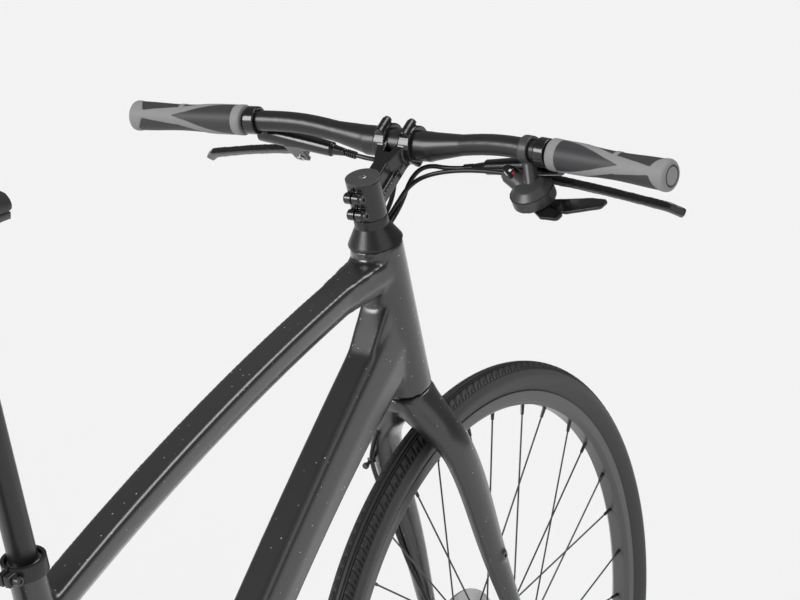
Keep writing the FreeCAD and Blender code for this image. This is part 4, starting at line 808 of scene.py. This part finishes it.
def tyre_profile():
    """Tyre outline as (radius, side) points, each one's way from the crown in millimetres, its shear."""
    points = []
    across = []
    crown = 17.5
    flatness = 0.86
    steps = 24
    for k in range(-steps, steps + 1):
        way = k / steps * TREAD_HALF
        turn = way / crown
        points.append((TYRE_RADIUS - crown * (1 - math.cos(turn)) * flatness, crown * math.sin(turn)))
        across.append(way)
    edge = points[-1][0]
    flank = [(edge - 3.5, 18.6), (edge - 7.5, 18.95), (331.0, 18.6), (326.0, 17.0), (321.5, 14.2),
             (318.2, 11.4), (317.4, 10.6), (312.0, 10.0)]
    flank_ways = [TREAD_HALF + 1 + 3 * k for k in range(len(flank))]
    points += flank + [(radius, -side) for radius, side in reversed(flank)]
    across += flank_ways + [-way for way in reversed(flank_ways)]
    slant = 0.35
    column_width = 0.9
    shear = [min(abs(way), TREAD_HALF) / column_width * slant for way in across]
    return [(radius * MM, side * MM) for radius, side in points], across, shear


class BuildWheels(bpy.types.Operator):
    """Rims, round spokes, nipples and hub shells"""

    bl_idname = "hybrid.wheels"
    bl_label = "Wheels"

    def execute(self, context):
        outline = [(300.0, 5.6), (300.2, 7.2), (304.6, RIM_HALF - 0.3), (305.6, RIM_HALF), (316.2, RIM_HALF),
                   (317.0, RIM_HALF - 0.6), (316.6, RIM_HALF - 1.4), (311.4, RIM_HALF - 1.4), (311.0, 6.5),
                   (305.0, 5.0)]
        profile = [(r * MM, -y * MM) for r, y in outline] + [(r * MM, y * MM) for r, y in reversed(outline)]
        columns = 288
        nipple_radius = 0.0023
        nipple_length = 0.0125
        nipple_back = 0.012
        for name, centre in WHEELS:
            body = name + "_wheel"
            rim = link(name + "_rim_band", lathe(name + "_rim_band", profile, centre, columns))
            dress(rim, "rim_grey", body, "satin_black", name + "_rim", sharp=30)
            ends = spoke_ends(centre, *FLANGES[name])
            points = [point for pair in ends for point in pair]
            mesh = bpy.data.meshes.new(name + "_spoke_set")
            mesh.from_pydata(points, [(2 * k, 2 * k + 1) for k in range(len(ends))], [])
            strands = link(name + "_spoke_set", mesh)
            run_tree(strands, tree_once(strands_tree), Radius=sizes().spoke_radius,
                     Material=named_finish("dark_steel"))
            dress(strands, None, body, "black_steel", name + "_spokes", sharp=50)
            places = []
            for start, end in ends:
                aim = (end - start).normalized()
                places.append((end - aim * nipple_back, aim))
            pattern = nipple_mesh(nipple_radius, nipple_length)
            nipples = copies(name + "_nipples", pattern, places, "gloss_black")
            dress(nipples, None, body, "black_steel", sharp=50)
            hub = eased(name + "_hub_shell", cad_mesh(name + "_hub"), 0.0006)
            dress(hub, "satin_black", body, "satin_black", name + "_hub", sharp=30)
        return {"FINISHED"}


def spoke_ends(centre, left, right):
    """Start and end of every crossed spoke of one wheel."""
    ends = []
    step = 360 / SPOKES_A_SIDE
    crossings = 3
    for side, flange in ((1, left), (-1, right)):
        for k in range(SPOKES_A_SIDE):
            lead = 1 if k % 2 else -1
            angle = math.radians(k * step + (0 if side > 0 else step / 2))
            foot = angle + math.radians(lead * crossings * step)
            out = flange + side * lead * (2.6 + (1.9 if lead > 0 else 0.1))
            start = centre + spot(FLANGE_RADIUS * math.cos(foot), out, FLANGE_RADIUS * math.sin(foot))
            end = centre + spot(SPOKE_REACH * math.cos(angle), side * 2, SPOKE_REACH * math.sin(angle))
            ends.append((start, end))
    return ends


class BuildGrips(bpy.types.Operator):
    """Two-tone grips: pale lattice round dark pads"""

    bl_idname = "hybrid.grips"
    bl_label = "Grips"

    def execute(self, context):
        for name, side in (("left", 1), ("right", -1)):
            start = GRIP_INNER if side > 0 else mirror(GRIP_INNER)
            end = BAR_END if side > 0 else mirror(BAR_END)
            mesh = grip_mesh("grip_" + name + "_rubber", start, end, side)
            piece = link("grip_" + name + "_rubber", mesh)
            mesh.materials.append(named_finish("grip_pale"))
            mesh.materials.append(named_finish("grip_dark"))
            dress(piece, None, "steering", "grip_rubber", "grip_" + name, sharp=55)
        return {"FINISHED"}


def pad_here(along, turn):
    """True where a grip has a dark pad: a leaf in front and behind, long pads above and below them."""
    leaf_start = 10
    leaf_end = 86
    leaf_width = 84
    bar_start = 75.5
    bar_end = 81
    taper_end = 123
    pads_start = 40
    pads_end = 131
    half_turn = math.pi
    off = math.degrees(abs((turn + half_turn / 2) % half_turn - half_turn / 2))
    leaf = 0.0
    if along < leaf_end:
        leaf = leaf_width * (1 - (max(along - leaf_start, 0) / (leaf_end - leaf_start)) ** 1.15)
    if leaf_start < along < leaf_end and off < leaf:
        return True
    if along < bar_end:
        edge = leaf + 30
    elif along < taper_end:
        edge = 40 - (along - bar_end) * 0.6
    else:
        edge = 15 + (along - taper_end) * 7
    cross_bar = bar_start < along < bar_end and turn % (2 * math.pi) < math.pi
    return pads_start < along < pads_end and off > edge and not cross_bar


def grip_mesh(name, start, end, side):
    """Grip turned round the bar's end, with its pads sunk a little and its ends closed."""
    axis = (end - start).normalized()
    length = (end - start).length / MM
    back = Vector((-0.96, 0, 0.28))
    back = (back - axis * back.dot(axis)).normalized()
    other = axis.cross(back) * side
    full_radius = 16.3
    waist_depth = 1.5
    waist_start = 25
    waist_length = 105
    outline = [(0.0, 11.2), (0.0, 15.8), (0.8, 16.5), (6.0, 16.6), (7.0, full_radius)]
    outline += [(7.0 + k * 1.0, None) for k in range(1, 124)]
    outline += [(131.0, 16.1), (134.0, 16.5), (137.0, 16.4), (139.0, 15.6), (140.4, 14.0), (length, 12.4),
                (length, 11.6), (length - 0.7, 11.4), (length - 0.7, 9.4), (length, 9.2), (length, 0.0)]
    around = 144
    points = []
    pads = []
    lift = sizes().lattice_height / MM
    for along, radius in outline[:-1]:
        for k in range(around):
            turn = 2 * math.pi * k / around
            reach = radius
            pad = length - 1 < along < length - 0.5
            if radius is None:
                pad = pad_here(along, turn)
                share = min(max((along - waist_start) / waist_length, 0), 1)
                waist = waist_depth * math.sin(math.pi * share) ** 2
                reach = full_radius - waist - (lift if pad else 0)
            outward = back * math.cos(turn) + other * math.sin(turn)
            points.append(start + (axis * along + outward * reach) * MM)
            pads.append(pad)
    faces = []
    marks = []
    rows = len(outline) - 1
    for row in range(rows - 1):
        under = row + 1
        for k in range(around):
            after = (k + 1) % around
            corners = [row * around + k, row * around + after, under * around + after, under * around + k]
            faces.append(tuple(corners if side > 0 else reversed(corners)))
            marks.append(1 if sum(pads[corner] for corner in corners) > 2 else 0)
    outer = range((rows - 1) * around, rows * around)
    inner = range(around)
    faces.append(tuple(outer if side > 0 else reversed(outer)))
    faces.append(tuple(reversed(inner) if side > 0 else inner))
    marks += [0, 0]
    mesh = bpy.data.meshes.new(name)
    mesh.from_pydata(points, [], faces)
    mesh.polygons.foreach_set("material_index", marks)
    return mesh


class BuildCockpit(bpy.types.Operator):
    """Handlebar, headset cover, top cap, brake bodies, levers and shifter"""

    bl_idname = "hybrid.cockpit"
    bl_label = "Cockpit"

    def execute(self, context):
        cast = (("handlebar", "steering", "satin_black", "satin_black", 0.0014, 10),
                ("brake_bracket_left", "steering", "gloss_black", "dark_plastic", 0.0008, 6),
                ("brake_bracket_right", "steering", "gloss_black", "dark_plastic", 0.0008, 6),
                ("shifter_body", "steering", "dark_plastic", "dark_plastic", 0.0008, 8),
                ("brake_lever_left", "left_brake_lever", "gloss_black", "gloss_black", 0.0011, 16),
                ("brake_lever_right", "right_brake_lever", "gloss_black", "gloss_black", 0.0011, 16),
                ("shift_lever", "thumb_shift_lever", "gloss_black", "dark_plastic", 0.0006, 8),
                ("shift_release_lever", "finger_release_lever", "gloss_black", "dark_plastic", 0.0006, 8))
        for node, body, look, slot, grain, rounds in cast:
            piece = moulded(node + "_skin", cad_mesh(node), grain, rounds)
            dress(piece, look, body, slot, node, sharp=60)
        turned = (("headset_cover", "satin_black", 0.0008), ("stem_top_cap", "dark_plastic", 0.0005))
        for node, look, width in turned:
            dress(eased(node + "_skin", cad_mesh(node), width), look, "steering", look, node, sharp=35)
        return {"FINISHED"}


def stem_at(x, y, z):
    """Point in millimetres from the bar's centre along the stem, across and up from it."""
    return BAR_CENTRE + (STEM_REACH * x + ACROSS * y + STEM_REACH.cross(ACROSS) * z) * MM


def stem_mesh():
    """Rough stem: clamp with round ears, flat-topped neck, and two prongs round the bar with bolt bosses."""
    clamp_radius = 0.018
    prong_radius = 0.0205
    boss_radius = 0.0054
    ear_radius = 0.006
    rods = [(steer(0, 0, STEM_LOW), steer(0, 0, STEM_HIGH), clamp_radius)]
    blocks = []
    blocks.append(box_corners(stem_at, (-71, -24), (-8.6, 8.6), (-11, 12.6)))
    blocks.append(box_corners(stem_at, (-71, -18), (-13.6, 13.6), (-13.4, -4.5)))
    for side in (-1, 1):
        arm = []
        for up in (-12.6, 12.6):
            arm += [stem_at(-38, side * 1.0, up), stem_at(-2, side * 8.2, up), stem_at(-2, side * 20.5, up),
                    stem_at(-38, side * 9.0, up)]
        blocks.append(arm)
        rods.append((stem_at(0, side * 8.2, 0), stem_at(0, side * 22.4, 0), prong_radius))
        out = side * STEM_BOLT_SIDE
        for up in (-STEM_BOLT_RISE, STEM_BOLT_RISE):
            rods.append((stem_at(-8, out, up), stem_at(12, out, up), boss_radius))
    for up in EAR_LEVELS:
        rods.append((steer(-EAR_BACK, -9.5, up), steer(-EAR_BACK, 9.5, up), ear_radius))
        blocks.append(box_corners(steer, (-EAR_BACK, -10), (-9.3, 9.3), (up - 5, up + 5)))
    return solid_mesh("stem_rough", rods, blocks)


class BuildStem(bpy.types.Operator):
    """Stem and its faceplate, split in front of the bar"""

    bl_idname = "hybrid.stem"
    bl_label = "Stem"

    def execute(self, context):
        bar_bore = 0.01605
        steerer_bore = 0.01435
        half_gap = 0.9
        half_split = 1
        beyond = (-60, 60)
        height = (STEM_LOW - 3, STEM_HIGH + 3)
        whole = moulded("stem_skin", stem_mesh(), 0.0008, 5)
        plate = link("stem_faceplate_skin", whole.data.copy())
        bar = (stem_at(0, beyond[0], 0), stem_at(0, beyond[1], 0), bar_bore)
        steerer = (steer(0, 0, height[0]), steer(0, 0, height[1]), steerer_bore)
        front = box_corners(stem_at, (half_gap, 60), beyond, beyond)
        rear = box_corners(stem_at, (-160, -half_gap), beyond, beyond)
        split = box_corners(steer, (-40, -5), (-half_split, half_split), height)
        carve(whole, [bar])
        carve(whole, [steerer])
        carve(whole, (), [front])
        carve(whole, (), [split])
        carve(plate, [bar])
        carve(plate, (), [rear])
        dress(whole, "gloss_black", "steering", "gloss_black", "stem", sharp=40)
        dress(plate, "gloss_black", "steering", "gloss_black", "stem_faceplate", sharp=40)
        return {"FINISHED"}


def bead_mesh(radius, depth):
    """Small closed bead along Z with rounded edges."""
    shape = bmesh.new()
    bmesh.ops.create_cone(shape, cap_ends=True, segments=20, radius1=radius, radius2=radius, depth=depth)
    bmesh.ops.bevel(shape, geom=shape.edges[:], offset=depth * 0.3, segments=2, profile=0.5, affect="EDGES")
    mesh = bpy.data.meshes.new("bead")
    shape.to_mesh(mesh)
    shape.free()
    return mesh


class BuildTrim(bpy.types.Operator):
    """Ribbed hose boots, hose clip, gear window and a dark line of painted shade for the shifter's ring
    groove
    """

    bl_idname = "hybrid.trim"
    bl_label = "Trim"

    def execute(self, context):
        self.boots()
        self.clip()
        self.window()
        self.seam()
        return {"FINISHED"}

    def boots(self):
        """Ribs of the boots where the two brake hoses leave the levers."""
        ribs = 5
        first_rib = 0.0015
        rib_pitch = 0.0024
        rib_radius = 0.0042
        rib_width = 0.0018
        way = HOSE_WAY.normalized()
        places = []
        for k in range(ribs):
            here = HOSE_START + way * (first_rib + rib_pitch * k)
            places += [(here, way), (mirror(here), mirror(way))]
        piece = copies("hose_boots", bead_mesh(rib_radius, rib_width), places, "hose_black")
        dress(piece, None, "steering", "hose", sharp=40)

    def clip(self):
        """Clip that holds the front brake hose behind the fork's left leg."""
        centre = steer(-26, 46, -85)
        rods = [(centre + spot(0, 1, 3), centre - spot(0, 1, 3), 0.0044),
                (centre, centre - STEER_FORWARD * 0.011, 0.0022),
                (centre - STEER_FORWARD * 0.01, centre - STEER_FORWARD * 0.014, 0.0036),
                (centre, steer(-12, 50, -86), 0.0026)]
        piece = moulded("hose_clip", solid_mesh("hose_clip", rods), 0.0006, 3)
        dress(piece, "dark_plastic", "steering", "dark_plastic", sharp=40)

    def seam(self):
        """Dark line round the shifter's pod: painted shade that stands for its ring groove."""
        lift = 0.0082
        radius = 0.0233
        width = 0.0011
        places = [(POD_CENTRE + POD_UP * lift, POD_UP)]
        # Thin gloss-black disc whose rim shows as the painted shade of a ring groove round the pod
        piece = copies("shifter_seam", bead_mesh(radius, width), places, "gloss_black")
        dress(piece, None, "steering", "dark_plastic", sharp=40)

    def window(self):
        """Dark lens on the shifter's head with a white and a red mark that show through its top."""
        lift = 0.0079
        lens_half = (0.0105, 0.0066, 0.0022)
        lens_back = 0.0075
        mark_along = (-0.0012, 0.0012)
        mark_across = (-0.0015, 0.0015)
        mark_up = (0.0005, 0.0024)
        end = POD_CENTRE + spot(2, 34, 21.8)
        along = spot(0, 7, 4.2).normalized()
        out = Vector((-0.72, -0.3, 0.62))
        out = (out - along * out.dot(along)).normalized()
        beside = along.cross(out)
        lens = bmesh.new()
        bmesh.ops.create_uvsphere(lens, u_segments=32, v_segments=16, radius=1.0)
        axes = (along * lens_half[0], beside * lens_half[1], out * lens_half[2])
        scale = Matrix(axes).transposed().to_4x4()
        lens.transform(Matrix.Translation(end - along * lens_back + out * lift) @ scale)
        mesh = bpy.data.meshes.new("gear_window")
        lens.to_mesh(mesh)
        lens.free()
        dress(link("gear_window", mesh), "gloss_black", "steering", "dark_plastic", sharp=40)
        marks = (("gear_number", -0.0058, "window_white"), ("gear_pointer", -0.0102, "gear_mark"))
        for name, step, look in marks:
            at = placed(end + along * step + out * lift, along, beside, out)
            corners = box_corners(at, mark_along, mark_across, mark_up)
            dress(link(name, solid_mesh(name, (), [corners])), look, "steering", "dark_plastic", sharp=30)


def bolt_circle(centre, radius, side, angles, aim):
    """Places of bolts round a centre at a side of the bike, all with one aim."""
    places = []
    for angle in angles:
        turn = math.radians(angle)
        places.append((centre + spot(radius * math.cos(turn), side, radius * math.sin(turn)), aim))
    return places


class BuildBolts(bpy.types.Operator):
    """Socket bolts of stem, cap, collar, levers, rotors and chainring"""

    bl_idname = "hybrid.bolts"
    bl_label = "Bolts"

    def execute(self, context):
        right = -ACROSS
        stem = [(steer(-EAR_BACK, -9.4, up), right) for up in EAR_LEVELS]
        for side in (-STEM_BOLT_SIDE, STEM_BOLT_SIDE):
            for up in (-STEM_BOLT_RISE, STEM_BOLT_RISE):
                stem.append((stem_at(11.8, side, up), STEM_REACH))
        cap = [(steer(0, 0, STEM_HIGH + 1.8), STEER_UP)]
        collar = [(SEAT_TOP - SEAT_UP * 0.0065 + SEAT_BACK * 0.0245 + right * 0.0136, right)]
        levers = []
        for pivot in (LEVER_PIVOT, mirror(LEVER_PIVOT)):
            levers += [(pivot + LEVER_AXIS * 0.0102, LEVER_AXIS), (pivot - LEVER_AXIS * 0.0102, -LEVER_AXIS)]
        ring = bolt_circle(BRACKET, 50, -47.8, [45 + 90 * k for k in range(4)], right)
        sets = (("stem_bolts", stem, (0.0042, 0.0032, 0.0023), "dark_steel", "steering"),
                ("cap_bolt", cap, (0.0044, 0.0018, 0.0023), "bare_steel", "steering"),
                ("collar_bolt", collar, (0.0045, 0.0022, 0.0022), "dark_steel", "frame_body"),
                ("lever_bolts", levers, (0.0045, 0.0018, 0.0022), "bare_steel", "steering"),
                ("ring_bolts", ring, (0.0042, 0.0012, 0.0022), "bare_steel", "crankset"))
        for name, places, (radius, height, socket), look, body in sets:
            piece = copies(name, bolt_mesh(radius, height, socket), places, look)
            dress(piece, None, body, "bare_steel" if look == "bare_steel" else "black_steel", sharp=40)
        for name, axle in WHEELS:
            places = bolt_circle(axle, 21.5, ROTOR_FACE[name], [60 * k for k in range(6)], ACROSS)
            piece = copies(name + "_rotor_bolts", bolt_mesh(0.0034, 0.0016, 0.0018), places, "dark_steel")
            dress(piece, None, name + "_wheel", "black_steel", sharp=40)
        return {"FINISHED"}


def tube_along(name, points, radius, look):
    """Round hose along a smooth spline that its points steer."""
    curve = bpy.data.curves.new(name, "CURVE")
    curve.dimensions = "3D"
    spline = curve.splines.new("NURBS")
    spline.points.add(len(points) - 1)
    for knot, point in zip(spline.points, points):
        knot.co = (*point, 1)
    spline.order_u = 3
    spline.use_endpoint_u = True
    spline.resolution_u = 10
    curve.bevel_depth = radius
    curve.bevel_resolution = 5
    curve.use_fill_caps = True
    curve.materials.append(named_finish(look))
    return link(name, curve)


class BuildHoses(bpy.types.Operator):
    """Brake hoses and shift cable"""

    bl_idname = "hybrid.hoses"
    bl_label = "Hoses"

    def execute(self, context):
        hose = sizes().hose_radius
        cable = hose * 0.96
        left = [HOSE_START, HOSE_START + HOSE_WAY, spot(375, 24, 954), spot(368, 9, 940), spot(353, 6, 909),
                steer(17.6, 5.6, 185)]
        shift_start = mirror(POD_CENTRE) + spot(10.03, -40.4, 18.05)
        shift = [shift_start, shift_start + spot(3, -34, 0), spot(362, 44, 950), spot(360, 14, 936),
                 spot(349, 1, 909), steer(17.6, 0, 185)]
        fork = [steer(-14, 30, -38), steer(-30, 42, -70), steer(-22, 50, -100), steer(-8, 54, -150),
                steer(1.5, 55, -200), steer(9, 54, -250), steer(15, 48, -288), steer(18, 44, -315),
                steer(7, 44, -335)]
        stay = [(175, 55, -27), (148, 57, -6), (120, 57, 17), (84, 55, 41)]
        stay = [REAR_AXLE + spot(*point) for point in stay]
        shift_stay = [(92, -65, -14.5), (70, -78, -18), (46, -89, -24), (22, -92, -27), (-4, -89, -28)]
        shift_stay = [REAR_AXLE + spot(*point) for point in shift_stay]
        routes = (("front_hose_bar", left, hose, "steering", "front_brake_hose"),
                  ("front_hose_fork", fork, hose, "steering", "front_brake_hose"),
                  ("rear_hose_bar", [mirror(p) for p in left], hose, "steering", "rear_brake_hose_front"),
                  ("shift_cable_bar", [mirror(p) for p in shift], cable, "steering", "shift_cable_front"),
                  ("rear_hose_stay", stay, hose, "frame_body", "rear_brake_hose"),
                  ("shift_cable_stay", shift_stay, cable, "frame_body", "rear_shift_cable"))
        for name, points, reach, body, node in routes:
            piece = tube_along(name, points, reach, "hose_black")
            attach(piece, body)
            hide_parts(node)
        return {"FINISHED"}


class BuildSaddle(bpy.types.Operator):
    """Padded saddle, its shell, and the post with its clamp"""

    bl_idname = "hybrid.saddle"
    bl_label = "Saddle"

    def execute(self, context):
        cover = moulded("saddle_padding", cad_mesh("saddle_cover"), 0.0022, 14)
        dress(cover, "saddle_skin", "seat", "saddle_skin", "saddle_cover", sharp=60)
        for node, look, slot, width in (("seatpost", "satin_black", "satin_black", 0.0008),
                                        ("saddle_base", "dark_plastic", "dark_plastic", 0.001)):
            dress(eased(node + "_skin", cad_mesh(node), width), look, "seat", slot, node, sharp=35)
        return {"FINISHED"}


class BuildDrive(bpy.types.Operator):
    """Cranks, pedals, derailleur, calipers and axle levers"""

    bl_idname = "hybrid.drive"
    bl_label = "Drive"

    def execute(self, context):
        cast = (("crank_arm_right", "crankset", "gloss_black", "gloss_black", 0.0011, 5),
                ("crank_arm_left", "crankset", "gloss_black", "gloss_black", 0.0011, 5),
                ("derailleur_mount", "frame_body", "dark_plastic", "dark_plastic", 0.0007, 4),
                ("derailleur_link", "shift_link", "satin_black", "satin_black", 0.0006, 4),
                ("derailleur_knuckle", "shift_knuckle", "dark_plastic", "dark_plastic", 0.0007, 4),
                ("front_quick_release", "front_skewer_lever", "anodised_black", "satin_black", 0.0006, 4),
                ("rear_quick_release", "rear_skewer_lever", "anodised_black", "satin_black", 0.0006, 4))
        for node, body, look, slot, grain, rounds in cast:
            dress(moulded(node + "_skin", cad_mesh(node), grain, rounds), look, body, slot, node, sharp=60)
        cut = (("seat_clamp", "frame_body", "satin_black", "satin_black", 0.0008),
               ("derailleur_hanger", "frame_body", "satin_black", "satin_black", 0.0005),
               ("rear_caliper", "frame_body", "anodised_black", "satin_black", 0.0008),
               ("front_caliper", "steering", "anodised_black", "satin_black", 0.0008),
               ("pedal_left", "left_pedal", "dark_plastic", "dark_plastic", 0.0008),
               ("pedal_right", "right_pedal", "dark_plastic", "dark_plastic", 0.0008))
        for node, body, look, slot, width in cut:
            dress(eased(node + "_skin", cad_mesh(node), width), look, body, slot, node, sharp=35)
        return {"FINISHED"}


class BuildFinishes(bpy.types.Operator):
    """Finishes of the construction pieces, satin black where none is named"""

    bl_idname = "hybrid.finishes"
    bl_label = "Finishes"

    def execute(self, context):
        looks = {"headset_bearings": "dark_steel", "chain": "dark_steel", "saddle_rails": "dark_steel",
                 "rear_axle": "anodised_black", "front_axle": "anodised_black", "cassette": "bare_steel",
                 "front_rotor": "bare_steel", "rear_rotor": "bare_steel", "guide_pulley": "dark_plastic",
                 "tension_pulley": "dark_plastic"}
        for name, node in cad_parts.items():
            node.data.materials.clear()
            node.data.materials.append(named_finish(looks.get(name, "satin_black")))
        return {"FINISHED"}


# Each lamp's name, strength, spread in degrees and the way towards it
LAMPS = (("key", 2.2, 30, (-0.84, 0.46, 0.3)),
         ("side", 0.42, 50, (-0.35, -0.9, 0.4)),
         ("top", 1.75, 40, (0.2, -0.3, 1.0)))
WORLD_STRENGTH = 0.18
FLOOR_REACH = 60.0
CAMERA_PLACE = Vector((-2.0305169, -1.5727293, 1.4456593))
CAMERA_RIGHT = Vector((0.55025731, -0.83497317, 0.00605817))
CAMERA_UP = Vector((0.17785734, 0.12429278, 0.97617523))
CAMERA_BACK = -Vector((0.8158331, 0.53607007, -0.21689912))
CAMERA_LENS = 125.931
CAMERA_SENSOR = 36.0


class BuildStage(bpy.types.Operator):
    """Pale floor, soft light and the camera at the photograph's place"""

    bl_idname = "hybrid.stage"
    bl_label = "Stage"

    def execute(self, context):
        self.floor()
        self.light(context.scene)
        self.camera(context.scene)
        context.scene.view_settings.view_transform = "Standard"
        return {"FINISHED"}

    def floor(self):
        """Wide pale floor that keeps the bike's shadow."""
        corners = [(x * FLOOR_REACH, y * FLOOR_REACH, 0) for x, y in ((-1, -1), (1, -1), (1, 1), (-1, 1))]
        mesh = bpy.data.meshes.new("floor")
        mesh.from_pydata(corners, [], [(0, 1, 2, 3)])
        pale, tree, shader = new_material("pale_floor")
        shader.inputs["Base Color"].default_value = (*colours().floor, 1)
        shader.inputs["Roughness"].default_value = 0.9
        shader.inputs["Specular IOR Level"].default_value = 0.0
        mesh.materials.append(pale)
        floor = link("floor", mesh)

    def light(self, scene):
        """Even white world and three wide suns."""
        world = bpy.data.worlds.new("studio")
        world.use_nodes = True
        background = world.node_tree.nodes["Background"]
        background.inputs["Color"].default_value = (1, 1, 1, 1)
        background.inputs["Strength"].default_value = WORLD_STRENGTH
        scene.world = world
        for name, strength, spread, toward in LAMPS:
            lamp = bpy.data.lights.new(name, "SUN")
            lamp.energy = strength
            lamp.angle = math.radians(spread)
            sun = link(name, lamp)
            sun.rotation_euler = Vector(toward).to_track_quat("Z", "Y").to_euler()

    def camera(self, scene):
        """Long lens from the right rear."""
        camera = link("camera", bpy.data.cameras.new("camera"))
        camera.data.lens = CAMERA_LENS
        camera.data.sensor_width = CAMERA_SENSOR
        camera.data.clip_end = 100.0
        turn = Matrix((CAMERA_RIGHT, CAMERA_UP, CAMERA_BACK)).transposed().to_4x4()
        camera.matrix_world = Matrix.Translation(CAMERA_PLACE) @ turn
        scene.camera = camera


class HybridPanel(bpy.types.Panel):
    """Sidebar panel with the bike's sizes, colours and build steps"""

    bl_idname = "VIEW3D_PT_hybrid_bike"
    bl_label = "Hybrid bike"
    bl_space_type = "VIEW_3D"
    bl_region_type = "UI"
    bl_category = "Hybrid bike"

    def draw(self, context):
        for group in (context.scene.hybrid_sizes, context.scene.hybrid_colours):
            box = self.layout.box()
            for key in group.bl_rna.properties.keys():
                if key not in ("rna_type", "name"):
                    box.prop(group, key)
        for step in STEPS:
            self.layout.operator(step.bl_idname)


STEPS = (BuildFinishes, BuildFrame, BuildFork, BuildTyres, BuildWheels, BuildGrips, BuildCockpit, BuildStem,
         BuildHoses, BuildSaddle, BuildDrive, BuildTrim, BuildBolts, BuildStage)
CLASSES = (HybridSizes, HybridColours, *STEPS, HybridPanel)


def register():
    """Adds the classes and the scene's settings."""
    for item in CLASSES:
        bpy.utils.register_class(item)
    bpy.types.Scene.hybrid_sizes = bpy.props.PointerProperty(type=HybridSizes)
    bpy.types.Scene.hybrid_colours = bpy.props.PointerProperty(type=HybridColours)


def unregister():
    """Takes the classes and the scene's settings away."""
    del bpy.types.Scene.hybrid_colours
    del bpy.types.Scene.hybrid_sizes
    for item in reversed(CLASSES):
        bpy.utils.unregister_class(item)


def main():
    """Builds every piece and the stage."""
    register()
    for step in STEPS:
        kind, name = step.bl_idname.split(".")
        getattr(getattr(bpy.ops, kind), name)()


if __name__ == "__main__":
    main()
